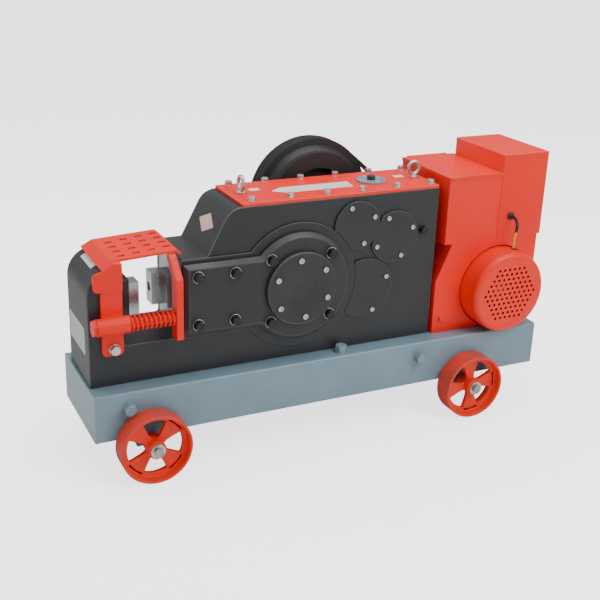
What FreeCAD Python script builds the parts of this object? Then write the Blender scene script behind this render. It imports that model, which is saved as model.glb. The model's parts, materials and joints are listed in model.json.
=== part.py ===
"""Powered rebar cutter: a geared shear in a steel housing, carried on a wheeled channel frame.

Working frame of this file, in millimetres: x runs from the left end of the base to the motor
end, y from the front face of the base to its back, and z up from the underside of the base.
write_node() moves every part so that the finished machine stands on z = 0 with its origin at
the middle of its footprint.
"""
import math
import os

import FreeCAD
import Part

# ---------------------------------------------------------------- driving dimensions
BASE_LENGTH = 1400.0
BASE_DEPTH = 310.0
BASE_HEIGHT = 135.0
CHANNEL_FLANGE = 65.0
CHANNEL_WALL = 8.0

WHEEL_RADIUS = 98.0
WHEEL_WIDTH = 60.0
WHEEL_GAP = 8.0                   # between the wheel and the side of the base
AXLE_RADIUS = 12.5
AXLE_Z = -13.0
AXLE_XS = (147.0, 1144.0)
AXLE_OVERHANG = 13.0              # stub outside each wheel for the washer and the split pin
WHEEL_RIM = 9.0
WHEEL_WEB = 14.0
WHEEL_HUB_RADIUS = 25.0
SPOKE_WIDTH = 24.0
WHEEL_TURNS = (45.0, 5.0)         # degrees that the spokes of the left and right wheels are turned

CROSSMEMBER = 10.0
CROSSMEMBER_XS = (260.0, 720.0, 1060.0)
MOTOR_PLATE_X = (1110.0, 1380.0)
FRAME_BOLT = 30.0                 # across flats
FRAME_BOLT_PLACES = ((92.0, 91.0), (978.0, 90.0))
FLANGE_BOLT_X = 730.0
FLANGE_BOLT_INSET = 30.0

HOUSING_FRONT = 56.0
HOUSING_BACK = 260.0
WALL = 20.0
HOUSING_LEFT = 7.0
HOUSING_RIGHT = 1040.0
HEAD_TOP = 459.0
HEAD_CORNER = 75.0
HOUSING_TOP = 586.0
SLOPE_FOOT_X = 330.0
SLOPE_HEAD_X = 396.7
SLOPE_RADIUS = 55.0
RIM = 16.0                        # thickness of the housing's edge walls
MOUTH_LEFT = 100.0
MOUTH_RIGHT = 259.0
MOUTH_FLOOR = 244.0

TOP_PLATE_LEFT = 430.0
TOP_PLATE_THICKNESS = 8.5
TOP_BOLT_FIRST_X = 464.0
TOP_BOLT_PITCH = 111.0
TOP_BOLT_YS = (74.0, 242.0)
TOP_BOLTS_PER_ROW = 6
EYE_RING_RADIUS = 18.0
EYE_SECTION_RADIUS = 5.5
EYE_XS = (467.0, 1013.0)
EYE_Y = 158.0
EYE_COLLAR_RADIUS = 14.0
EYE_COLLAR = 6.0
FILLER_CENTRE = (872.0, 160.0)
FILLER_RADIUS = 43.0
FILLER_FLANGE = 5.0
FILLER_SCREW_CIRCLE = 34.0
BREATHER_RADIUS = 12.0
BREATHER_HEIGHT = 11.0

CRANK_PLATE = 6.0
CRANK_PLATE_RADIUS = 180.0
CRANK_PLATE_HALF = 111.0
CRANK_PLATE_LEFT = 256.0
CRANK_COVER_RADIUS = 155.0
CRANK_COVER_HALF = 100.0
CRANK_COVER_LEFT = 260.0
CRANK_COVER_BEVEL = 12.0          # along y and across; the bar's long sides rise in BAR_BEVEL
BAR_BEVEL = 8.0
CRANK_COVER_FRONT = 30.0
BEARING_CAP_RADIUS = 105.0
BEARING_CAP = 14.0
CAP_SCREW_CIRCLE = 82.5
COVER_BOLT_CIRCLE = 127.0
COVER_BOLT = 24.0                 # across flats
BAR_BOLT_XS = (296.0, 401.0)
BAR_BOLT_ZS = (283.0, 417.0)
SHAFT_COVER = 7.0
SHAFT_COVER_FIRST_SCREW = 22.5    # degrees
COVER_GAP = 1.0                   # between a shaft cover and the crank plate
REAR_COVER_MARGIN = 20.0          # of a rear cover round its bearing seat
PLUG_PLACE = (992.0, 466.0)

RUNNING_FIT = 0.05
INPUT_AXIS = (774.5, 501.5)
CRANK_AXIS = (595.0, 350.0)
FIRST_MODULE, FIRST_PINION, FIRST_GEAR = 4.0, 17, 48
SECOND_MODULE, SECOND_PINION, SECOND_GEAR = 5.0, 17, 51
THIRD_MODULE, THIRD_PINION, THIRD_GEAR = 6.0, 15, 57
FIRST_SHAFT_SLOPE = -20.1         # degrees from x of the line between the first two shafts
INPUT_RADIUS, INTERMEDIATE_RADIUS, SECOND_RADIUS, CRANK_RADIUS = 22.0, 25.0, 30.0, 35.0
SEAT_RADII = (36.0, 40.0, 45.0, 55.0)
FRONT_GEAR_LAYER = (84.0, 116.0)
BACK_GEAR_LAYER = (200.0, 236.0)
FIRST_GEAR_LAYER = (204.0, 232.0)
ECCENTRIC_LAYER = (126.0, 190.0)
TOOTH_CLEARANCE = 0.15            # taken off each side of every tooth
ADDENDUM = 0.9
DEDENDUM = 1.25
PRESSURE_ANGLE = math.radians(20.0)

STROKE = 54.0
ECCENTRIC_RADIUS = 50.0
RAM_Y = (118.0, 198.0)
RAM_Z = (305.0, 395.0)
RAM_NOSE_X = 240.0
YOKE_Y = (128.0, 188.0)
YOKE_HALF_HEIGHT = 100.0
YOKE_WALL = 20.0
YOKE_CLEARANCE = 3.0
BLADE_THICKNESS = 30.0
FIXED_BLADE_FACE_X = 160.0
BLADE_SHEAR_Y = 158.0             # plane in which the bar is sheared
BLADE_WIDTH = 47.0

GROOVE_COUNT = 3
GROOVE_PITCH = 15.0
FIRST_GROOVE_Y = 352.0
FLYWHEEL_RADIUS = 184.0
FLYWHEEL_STEP_RADIUS = 151.0
FLYWHEEL_RECESS_RADIUS = 104.0
FLYWHEEL_HUB_RADIUS = 48.0
FLYWHEEL_WEB_Y = (326.0, 350.0)
FLYWHEEL_Y = (301.0, 341.0, 392.0)  # front face, front of the grooved rim, back face
PULLEY_RADIUS = 52.0
GROOVE_DEPTH = 12.5
GROOVE_HALF_WIDTH = 6.5
GROOVE_SLOPE = math.tan(math.radians(18.0))
BELT_HALF_WIDTH = 3.7
BELT_SINK = 7.0                   # depth of the belt's inner face in the groove
BELT_PROUD = 1.0

HINGE_Y = 23.0
HINGE_Z = 318.0
HINGE_SHAFT_RADIUS = 12.0
HINGE_TUBE_RADIUS = 23.0
BRACKET_BOLT_PLACE = (71.5, 46.5, 243.5)
GUARD_SHEET = 6.0
GUARD_HOLE_PITCH = 42.5
GUARD_HOLE_RADIUS = 6.0
GUARD_HOLE_LENGTH = 22.0
SPRING_RADIUS = 19.0
SPRING_WIRE = 2.75
SPRING_TURNS = 10
SPRING_X = (106.0, 226.5)

MOTOR_AXIS = (1265.0, 262.0)
MOTOR_BODY_RADIUS = 100.0
MOTOR_SHAFT_RADIUS = 19.0
MOTOR_Y = (62.0, 300.0)
MOTOR_FINS = 28
MOTOR_FOOT_OFFSET = 75.0
FAN_RADIUS = 95.0
COWL_RADIUS = 125.0
COWL_Y = (-30.0, 60.0)
COWL_SHEET = 2.5
COWL_EDGE_RADIUS = 16.0
COWL_HOLE_RADIUS = 4.2
COWL_HOLE_PITCH = 17.5
COWL_HOLE_FIELD = 92.0

BOX_FRONT = 47.0
BOX_SHEET = 3.0
BOX_FLOOR = 412.0
TOOL_BOX_X = (1068.0, 1252.0)
TOOL_BOX_BACK = 312.0
TOOL_BOX_TOP = 612.0
CONTROL_BOX_X = (1252.0, 1415.0)
CONTROL_BOX_BACK = 301.0
CONTROL_BOX_TOP = 668.0
COVER_RIGHT = 1404.0
COVER_LEFT = (1047.0, 1095.0)     # at the foot and under the boxes
COVER_KINK_Z = 300.0
LID_GAP = 0.3
LID_PIN_X = (1090.0, 1230.0)
LID_PIN_RADIUS = 3.0
KNUCKLE_LENGTH = 30.0
KNUCKLE_RADIUS = 6.0
BUTTON_Y = 150.0
BUTTON_ZS = {"start_button": 600.0, "stop_button": 545.0}
BUTTON_RADIUS = 14.0

LEAD_RADIUS = 4.5
LEAD_ROUTE = (
    (1296.0, 38.0, 479.0), (1296.0, 24.0, 479.0), (1294.5, 12.0, 472.0), (1292.5, 5.0, 460.0),
    (1291.0, 5.0, 444.0), (1291.5, 8.5, 428.0), (1294.0, 14.0, 413.0), (1297.0, 18.0, 400.0),
    (1297.0, 18.0, 386.0),
)
GLAND_RADIUS = 12.0
GROMMET_RADIUS = 8.0

GROUND = AXLE_Z - WHEEL_RADIUS
PIN_END_Y = -WHEEL_GAP - WHEEL_WIDTH - AXLE_OVERHANG
BUTTON_TIP_X = CONTROL_BOX_X[1] + 20.0
BELT_GUARD_BACK = 408.0
BELT_GUARD_X = (1110.0, 1400.0)
BELT_GUARD_Z = (150.0, 520.0)
ORIGIN = FreeCAD.Vector(BUTTON_TIP_X / 2, (PIN_END_Y + BELT_GUARD_BACK) / 2, GROUND)

FORWARD = FreeCAD.Vector(0, -1, 0)
BACKWARD = FreeCAD.Vector(0, 1, 0)
RIGHT = FreeCAD.Vector(1, 0, 0)
UP = FreeCAD.Vector(0, 0, 1)


# ---------------------------------------------------------------- shape helpers
def box(x_span, y_span, z_span):
    """Block between the given limits."""
    low = FreeCAD.Vector(x_span[0], y_span[0], z_span[0])
    return Part.makeBox(x_span[1] - x_span[0], y_span[1] - y_span[0], z_span[1] - z_span[0], low)


def rod_x(x_span, y, z, radius):
    return Part.makeCylinder(radius, x_span[1] - x_span[0], FreeCAD.Vector(x_span[0], y, z), RIGHT)


def rod_y(centre, y_span, radius):
    """Cylinder along y; centre is its (x, z)."""
    base = FreeCAD.Vector(centre[0], y_span[0], centre[1])
    return Part.makeCylinder(radius, y_span[1] - y_span[0], base, BACKWARD)


def rod_z(centre, z_span, radius):
    """Upright cylinder; centre is its (x, y)."""
    base = FreeCAD.Vector(centre[0], centre[1], z_span[0])
    return Part.makeCylinder(radius, z_span[1] - z_span[0], base, UP)


def ring_y(centre, y_span, outer, inner):
    return rod_y(centre, y_span, outer).cut(rod_y(centre, y_span, inner))


def hex_prism(base, direction, across_flats, height):
    """Hexagonal prism standing on base and rising along direction."""
    corner = across_flats / math.sqrt(3.0)
    points = [
        FreeCAD.Vector(corner * math.cos(math.radians(60 * k)), corner * math.sin(math.radians(60 * k)), 0)
        for k in range(7)
    ]
    prism = Part.Face(Part.makePolygon(points)).extrude(FreeCAD.Vector(0, 0, height))
    prism.Placement = FreeCAD.Placement(base, FreeCAD.Rotation(UP, direction))
    return prism


def hex_bolt(base, direction, across_flats, washer=3.0):
    """Bolt head on its washer; its shank is hidden in the parts that it clamps."""
    disc = Part.makeCylinder(across_flats * 0.62, washer, base, direction)
    head = hex_prism(base + direction * washer, direction, across_flats, across_flats * 0.64)
    return disc.fuse(head)


def socket_screw(base, direction, radius, height):
    """Round head with a hexagonal socket."""
    head = Part.makeCylinder(radius, height, base, direction)
    socket_depth = height * 0.6
    socket = hex_prism(base + direction * (height - socket_depth), direction, radius, socket_depth)
    return head.cut(socket)


def rounded_outline(corners):
    """Closed 2-D outline as edges in the xy plane; each corner is (u, v) or (u, v, radius)."""
    count = len(corners)
    points = [FreeCAD.Vector(corner[0], corner[1], 0) for corner in corners]
    spans = []
    for index, corner in enumerate(corners):
        point = points[index]
        radius = corner[2] if len(corner) > 2 else 0.0
        if radius == 0.0:
            spans.append((point, None, point))
            continue
        before = (points[index - 1] - point).normalize()
        after = (points[(index + 1) % count] - point).normalize()
        half_turn = before.getAngle(after) / 2
        reach = radius / math.tan(half_turn)
        bisector = (before + after).normalize()
        middle = point + bisector * (radius / math.sin(half_turn) - radius)
        spans.append((point + before * reach, middle, point + after * reach))
    edges = []
    for index, (start, middle, end) in enumerate(spans):
        if middle is not None:
            edges.append(Part.Arc(start, middle, end).toShape())
        next_start = spans[(index + 1) % count][0]
        edges.append(Part.makeLine(end, next_start))
    return Part.Face(Part.Wire(edges))


def plate_xz(corners, y_span):
    """Plate whose outline is drawn in the xz plane."""
    solid = rounded_outline(corners).extrude(FreeCAD.Vector(0, 0, y_span[1] - y_span[0]))
    solid.Placement = FreeCAD.Placement(FreeCAD.Vector(0, y_span[1], 0), FreeCAD.Rotation(RIGHT, 90))
    return solid


def plate_xy(corners, z_span):
    """Plate whose outline is drawn in the xy plane."""
    solid = rounded_outline(corners).extrude(FreeCAD.Vector(0, 0, z_span[1] - z_span[0]))
    solid.translate(FreeCAD.Vector(0, 0, z_span[0]))
    return solid


def plate_yz(corners, x_span):
    """Plate whose outline is drawn in the yz plane."""
    solid = rounded_outline(corners).extrude(FreeCAD.Vector(0, 0, x_span[1] - x_span[0]))
    turn = FreeCAD.Rotation(UP, 90).multiply(FreeCAD.Rotation(RIGHT, 90))
    solid.Placement = FreeCAD.Placement(FreeCAD.Vector(x_span[0], 0, 0), turn)
    return solid


def turned_y(centre, profile):
    """Solid of revolution about an axis along y; the profile lists (radius, y)."""
    points = [FreeCAD.Vector(centre[0] + radius, y, centre[1]) for radius, y in profile]
    face = Part.Face(Part.makePolygon(points + points[:1]))
    return face.revolve(FreeCAD.Vector(centre[0], 0, centre[1]), BACKWARD, 360)


def polar(centre, radius, degrees):
    """Point (x, z) at a radius and an angle from x towards z."""
    angle = math.radians(degrees)
    return centre[0] + radius * math.cos(angle), centre[1] + radius * math.sin(angle)


def cut_all(solid, tools):
    return solid.cut(Part.makeCompound(tools))


def write_node(name, *solids):
    """Write one node, one or more solids, in the machine's finished frame."""
    shape = solids[0] if len(solids) == 1 else Part.makeCompound(list(solids))
    placed = shape.copy()
    placed.translate(ORIGIN * -1)
    placed.exportStep(os.path.join("parts", name + ".step"))


# ---------------------------------------------------------------- gears
def circle_crossing(centre_a, radius_a, centre_b, radius_b):
    """Lower crossing point of two circles in the xz plane."""
    across = (centre_b[0] - centre_a[0], centre_b[1] - centre_a[1])
    distance = math.hypot(*across)
    along = (distance**2 + radius_a**2 - radius_b**2) / (2 * distance)
    offset = math.sqrt(radius_a**2 - along**2)
    unit = (across[0] / distance, across[1] / distance)
    foot = (centre_a[0] + unit[0] * along, centre_a[1] + unit[1] * along)
    crossings = [(foot[0] + unit[1] * s * offset, foot[1] - unit[0] * s * offset) for s in (1, -1)]
    return min(crossings, key=lambda point: point[1])


def centre_distance(module, teeth_a, teeth_b):
    return module * (teeth_a + teeth_b) / 2


INTERMEDIATE_AXIS = polar(
    INPUT_AXIS, centre_distance(FIRST_MODULE, FIRST_PINION, FIRST_GEAR), FIRST_SHAFT_SLOPE)
SECOND_AXIS = circle_crossing(
    INTERMEDIATE_AXIS, centre_distance(SECOND_MODULE, SECOND_PINION, SECOND_GEAR),
    CRANK_AXIS, centre_distance(THIRD_MODULE, THIRD_PINION, THIRD_GEAR),
)
SHAFT_AXES = (INPUT_AXIS, INTERMEDIATE_AXIS, SECOND_AXIS, CRANK_AXIS)
SHAFT_RADII = (INPUT_RADIUS, INTERMEDIATE_RADIUS, SECOND_RADIUS, CRANK_RADIUS)


def mesh_phase(centre_a, teeth_a, phase_a, centre_b, teeth_b):
    """Angle of a tooth of gear b that puts it in mesh with gear a, whose tooth is at phase_a."""
    line = math.atan2(centre_b[1] - centre_a[1], centre_b[0] - centre_a[0])
    return line + math.pi + math.pi / teeth_b + (line - phase_a) * teeth_a / teeth_b


def involute(angle):
    return math.tan(angle) - angle


def spur_gear(centre, module, teeth, phase, y_span, bore=0.0):
    """Involute spur gear about an axis along y, with an optional bore."""
    pitch_radius = module * teeth / 2
    base_radius = pitch_radius * math.cos(PRESSURE_ANGLE)
    root_radius = pitch_radius - DEDENDUM * module
    tip_radius = pitch_radius + ADDENDUM * module
    flank_foot = max(base_radius, root_radius)
    half_at_pitch = math.pi / (2 * teeth) - TOOTH_CLEARANCE / pitch_radius

    def half_angle(radius):
        opening = math.acos(min(1.0, base_radius / radius))
        return half_at_pitch + involute(PRESSURE_ANGLE) - involute(opening)

    def at(radius, angle):
        x, z = polar(centre, radius, math.degrees(angle))
        return FreeCAD.Vector(x, y_span[0], z)

    flank_middle = (flank_foot + tip_radius) / 2
    pitch_angle = 2 * math.pi / teeth
    edges = []
    for tooth in range(teeth):
        middle = phase + tooth * pitch_angle
        foot_angle = half_angle(flank_foot)
        for side in (-1, 1):
            foot = at(flank_foot, middle + side * foot_angle)
            tip = at(tip_radius, middle + side * half_angle(tip_radius))
            flank = Part.Arc(foot, at(flank_middle, middle + side * half_angle(flank_middle)), tip)
            edges.append(flank.toShape())
            if root_radius < flank_foot:
                edges.append(Part.makeLine(at(root_radius, middle + side * foot_angle), foot))
        tip_start = at(tip_radius, middle - half_angle(tip_radius))
        tip_end = at(tip_radius, middle + half_angle(tip_radius))
        edges.append(Part.Arc(tip_start, at(tip_radius, middle), tip_end).toShape())
        gap = middle + pitch_angle / 2
        root_start = at(root_radius, middle + foot_angle)
        root_end = at(root_radius, middle + pitch_angle - foot_angle)
        edges.append(Part.Arc(root_start, at(root_radius, gap), root_end).toShape())
    outline = Part.Wire(Part.__sortEdges__(edges))
    gear = Part.Face(outline).extrude(FreeCAD.Vector(0, y_span[1] - y_span[0], 0))
    if bore:
        gear = gear.cut(rod_y(centre, y_span, bore))
    return gear


def lighten(gear, centre, y_span, web, rim, hub):
    """Turn an annular recess in both faces of a gear, leaving a central web."""
    middle = (y_span[0] + y_span[1]) / 2
    front = ring_y(centre, (y_span[0], middle - web / 2), rim, hub)
    back = ring_y(centre, (middle + web / 2, y_span[1]), rim, hub)
    return cut_all(gear, [front, back])


# ---------------------------------------------------------------- base and wheels
def base_channel(web_y, direction):
    """Folded side channel whose web is at web_y and whose flanges point along direction."""
    inner = web_y + direction * CHANNEL_WALL
    edge = web_y + direction * CHANNEL_FLANGE
    top = BASE_HEIGHT - CHANNEL_WALL
    corners = [
        (web_y, 0.0, 5.0), (edge, 0.0), (edge, CHANNEL_WALL), (inner, CHANNEL_WALL), (inner, top),
        (edge, top), (edge, BASE_HEIGHT), (web_y, BASE_HEIGHT, 5.0),
    ]
    return plate_yz(corners, (CHANNEL_WALL, BASE_LENGTH))


def make_base():
    write_node("base_front_channel", base_channel(0.0, 1))
    write_node("base_rear_channel", base_channel(BASE_DEPTH, -1))
    inner_y = (CHANNEL_WALL, BASE_DEPTH - CHANNEL_WALL)
    inner_z = (CHANNEL_WALL, BASE_HEIGHT - CHANNEL_WALL)
    end_plate = box((0.0, CHANNEL_WALL), (0.0, BASE_DEPTH), (0.0, BASE_HEIGHT))
    members = [box((x, x + CROSSMEMBER), inner_y, inner_z) for x in CROSSMEMBER_XS]
    flange_y = (CHANNEL_FLANGE, BASE_DEPTH - CHANNEL_FLANGE)
    motor_plate = box(MOTOR_PLATE_X, flange_y, (BASE_HEIGHT - CHANNEL_WALL, BASE_HEIGHT))
    write_node("base_crossmembers", end_plate, *members, motor_plate)

    bolts = []
    for y, direction in ((0.0, FORWARD), (BASE_DEPTH, BACKWARD)):
        for x, z in FRAME_BOLT_PLACES:
            bolts.append(hex_bolt(FreeCAD.Vector(x, y, z), direction, FRAME_BOLT, washer=2.0))
    for y in (FLANGE_BOLT_INSET, BASE_DEPTH - FLANGE_BOLT_INSET):
        bolts.append(hex_bolt(FreeCAD.Vector(FLANGE_BOLT_X, y, BASE_HEIGHT), UP, FRAME_BOLT, washer=2.0))
    write_node("base_bolts", *bolts)


def spoked_wheel(x, y_span, turn):
    """Cast wheel: rim, hub and a recessed web with four windows between four spokes."""
    centre = (x, AXLE_Z)
    middle = (y_span[0] + y_span[1]) / 2
    wheel = rod_y(centre, y_span, WHEEL_RADIUS)
    recess = (WHEEL_WIDTH - WHEEL_WEB) / 2
    rim, hub = WHEEL_RADIUS - WHEEL_RIM, WHEEL_HUB_RADIUS
    tools = [
        ring_y(centre, (y_span[0], y_span[0] + recess), rim, hub),
        ring_y(centre, (y_span[1] - recess, y_span[1]), rim, hub),
        rod_y(centre, y_span, AXLE_RADIUS + RUNNING_FIT),
    ]
    window_y = (middle - WHEEL_WIDTH / 4, middle + WHEEL_WIDTH / 4)
    windows = ring_y(centre, window_y, rim - 12.0, hub + 9.0)
    half = SPOKE_WIDTH / 2
    arms = [
        box((x - rim, x + rim), window_y, (AXLE_Z - half, AXLE_Z + half)),
        box((x - half, x + half), window_y, (AXLE_Z - rim, AXLE_Z + rim)),
    ]
    tools.append(cut_all(windows, arms))
    wheel = cut_all(wheel, tools)
    wheel.rotate(FreeCAD.Vector(x, 0, AXLE_Z), BACKWARD, turn)
    return wheel


def make_wheels():
    front = (-WHEEL_GAP - WHEEL_WIDTH, -WHEEL_GAP)
    rear = (BASE_DEPTH + WHEEL_GAP, BASE_DEPTH + WHEEL_GAP + WHEEL_WIDTH)
    pin_ends = (PIN_END_Y, BASE_DEPTH - PIN_END_Y)
    axles, brackets, retainers = [], [], []
    for side, x, turn in zip(("left", "right"), AXLE_XS, WHEEL_TURNS):
        write_node("wheel_front_" + side, spoked_wheel(x, front, turn))
        write_node("wheel_rear_" + side, spoked_wheel(x, rear, turn))
        centre = (x, AXLE_Z)
        axles.append(rod_y(centre, pin_ends, AXLE_RADIUS))
        for y in (12.0, BASE_DEPTH - 32.0):
            block = box((x - 32.0, x + 32.0), (y, y + 20.0), (AXLE_Z - 22.0, 0.0))
            brackets.append(block.cut(rod_y(centre, (y, y + 20.0), AXLE_RADIUS)))
        for outer, step in ((front[0], -1), (rear[1], 1)):
            washer_y = sorted((outer + step * 0.5, outer + step * 4.0))
            retainers.append(ring_y(centre, washer_y, 20.0, AXLE_RADIUS))
            pin_y = outer + step * 8.0
            pin = rod_z((x, pin_y), (AXLE_Z - 22.0, AXLE_Z + 22.0), 2.2)
            retainers.append(pin.cut(rod_y(centre, pin_ends, AXLE_RADIUS)))
        for inner, step in ((front[1], 1), (rear[0], -1)):
            spacer_y = sorted((inner + step * 0.5, inner + step * 7.5))
            retainers.append(ring_y(centre, spacer_y, 18.0, AXLE_RADIUS))
    write_node("axles", *axles)
    write_node("axle_brackets", *brackets)
    write_node("wheel_retainers", *retainers)


# ---------------------------------------------------------------- gear housing
def housing_outline():
    return [
        (HOUSING_LEFT, BASE_HEIGHT), (HOUSING_RIGHT, BASE_HEIGHT), (HOUSING_RIGHT, HOUSING_TOP),
        (SLOPE_HEAD_X, HOUSING_TOP, SLOPE_RADIUS), (SLOPE_FOOT_X, HEAD_TOP), (MOUTH_RIGHT, HEAD_TOP),
        (MOUTH_RIGHT, MOUTH_FLOOR, 8.0), (MOUTH_LEFT, MOUTH_FLOOR, 8.0), (MOUTH_LEFT, HEAD_TOP),
        (HOUSING_LEFT, HEAD_TOP, HEAD_CORNER),
    ]


def make_housing():
    cavity_y = (HOUSING_FRONT + WALL, HOUSING_BACK - WALL)
    for name, y_span in (
        ("housing_front", (HOUSING_FRONT, cavity_y[0])), ("housing_back", (cavity_y[1], HOUSING_BACK)),
    ):
        seats = [rod_y(axis, y_span, radius) for axis, radius in zip(SHAFT_AXES, SEAT_RADII)]
        write_node(name, cut_all(plate_xz(housing_outline(), y_span), seats))

    floor_z = (BASE_HEIGHT, BASE_HEIGHT + RIM)
    floor = box((HOUSING_LEFT, HOUSING_RIGHT), cavity_y, floor_z)
    right_end = box((HOUSING_RIGHT - WALL, HOUSING_RIGHT), cavity_y, (floor_z[1], HOUSING_TOP))
    mouth_floor = box((MOUTH_LEFT, MOUTH_RIGHT), cavity_y, (MOUTH_FLOOR - RIM, MOUTH_FLOOR))
    write_node("housing_ends", floor, right_end, mouth_floor)

    anvil = plate_xz(
        [(HOUSING_LEFT, floor_z[1]), (MOUTH_LEFT, floor_z[1]), (MOUTH_LEFT, HEAD_TOP),
         (HOUSING_LEFT, HEAD_TOP, HEAD_CORNER)], cavity_y)
    seat_x = (MOUTH_LEFT, FIXED_BLADE_FACE_X - BLADE_THICKNESS)
    blade_seat = box(seat_x, (98.0, 172.0), (RAM_Z[0] - 20.0, RAM_Z[1] + 15.0))
    write_node("anvil_block", anvil.fuse(blade_seat))

    shift = RIM / math.sin(math.atan2(HOUSING_TOP - HEAD_TOP, SLOPE_HEAD_X - SLOPE_FOOT_X))
    lean = (SLOPE_HEAD_X - SLOPE_FOOT_X) / (HOUSING_TOP - HEAD_TOP)
    slope = plate_xz(
        [(MOUTH_RIGHT, HEAD_TOP), (MOUTH_RIGHT, HEAD_TOP - RIM),
         (SLOPE_FOOT_X + shift - RIM * lean, HEAD_TOP - RIM),
         (SLOPE_HEAD_X + shift - RIM * lean, HOUSING_TOP - RIM, SLOPE_RADIUS - RIM),
         (TOP_PLATE_LEFT + 16.0, HOUSING_TOP - RIM), (TOP_PLATE_LEFT + 16.0, HOUSING_TOP),
         (SLOPE_HEAD_X, HOUSING_TOP, SLOPE_RADIUS), (SLOPE_FOOT_X, HEAD_TOP)], cavity_y)
    write_node("housing_slope", slope)

    bulkhead = box((MOUTH_RIGHT, MOUTH_RIGHT + RIM), cavity_y, (floor_z[1], HEAD_TOP - RIM))
    window_y = (RAM_Y[0] - 0.1, RAM_Y[1] + 0.1)
    window_z = (RAM_Z[0] - 0.1, RAM_Z[1] + 0.1)
    bulkhead = bulkhead.cut(box((MOUTH_RIGHT, MOUTH_RIGHT + RIM), window_y, window_z))
    rail_x = (MOUTH_RIGHT + RIM, 410.0)
    rail_y = (RAM_Y[0] - 20.0, RAM_Y[1] + 20.0)
    lower_rail = box(rail_x, rail_y, (RAM_Z[0] - 25.0, window_z[0]))
    upper_rail = box(rail_x, rail_y, (window_z[1], RAM_Z[1] + 25.0))
    side_rails = [
        box(rail_x, (rail_y[0], window_y[0]), window_z), box(rail_x, (window_y[1], rail_y[1]), window_z),
    ]
    write_node("ram_guide", bulkhead, lower_rail, upper_rail, *side_rails)


def lifting_eye(x, ring_axis):
    """Eye bolt on a round collar; ring_axis is the direction of the hole through its ring."""
    top = HOUSING_TOP + TOP_PLATE_THICKNESS
    collar = rod_z((x, EYE_Y), (top, top + EYE_COLLAR), EYE_COLLAR_RADIUS)
    ring_z = top + EYE_COLLAR + EYE_RING_RADIUS + EYE_SECTION_RADIUS - 1.5
    centre = FreeCAD.Vector(x, EYE_Y, ring_z)
    section = EYE_SECTION_RADIUS
    outer, bore = EYE_RING_RADIUS + section, EYE_RING_RADIUS - section
    half = FreeCAD.Vector(ring_axis) * section
    ring = Part.makeCylinder(outer, 2 * section, centre - half, ring_axis)
    ring = ring.makeFillet(section * 0.6, [e for e in ring.Edges if isinstance(e.Curve, Part.Circle)])
    ring = ring.cut(Part.makeCylinder(bore, 2 * section, centre - half, ring_axis))
    neck = rod_z((x, EYE_Y), (top + 4.0, ring_z - bore - 1.0), 7.0)
    neck = neck.cut(Part.makeCylinder(bore, 2 * section, centre - half, ring_axis))
    return collar.fuse([neck, ring])


def make_top():
    top_z = (HOUSING_TOP, HOUSING_TOP + TOP_PLATE_THICKNESS)
    plate = plate_xy(
        [(TOP_PLATE_LEFT, HOUSING_FRONT, 6.0), (HOUSING_RIGHT + 1.0, HOUSING_FRONT, 6.0),
         (HOUSING_RIGHT + 1.0, HOUSING_BACK, 6.0), (TOP_PLATE_LEFT, HOUSING_BACK, 6.0)], top_z)
    write_node("top_cover", plate)
    bolts = []
    for column in range(TOP_BOLTS_PER_ROW):
        x = TOP_BOLT_FIRST_X + column * TOP_BOLT_PITCH
        for y in TOP_BOLT_YS:
            bolts.append(hex_bolt(FreeCAD.Vector(x, y, top_z[1]), UP, 18.0, washer=2.5))
    write_node("top_cover_bolts", *bolts)
    write_node("lifting_eye_left", lifting_eye(EYE_XS[0], RIGHT))
    write_node("lifting_eye_right", lifting_eye(EYE_XS[1], BACKWARD))

    flange_top = top_z[1] + FILLER_FLANGE
    flange = rod_z(FILLER_CENTRE, (top_z[1], flange_top), FILLER_RADIUS)
    screws = []
    for turn in range(4):
        x, y = polar(FILLER_CENTRE, FILLER_SCREW_CIRCLE, 45 + 90 * turn)
        screws.append(socket_screw(FreeCAD.Vector(x, y, flange_top), UP, 4.5, 4.0))
    write_node("filler_cover", flange, *screws)
    cap = rod_z(FILLER_CENTRE, (flange_top, flange_top + BREATHER_HEIGHT), BREATHER_RADIUS)
    write_node("breather_cap", cap.makeChamfer(2.0, cap.Faces[1].Edges[:1]))


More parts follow.
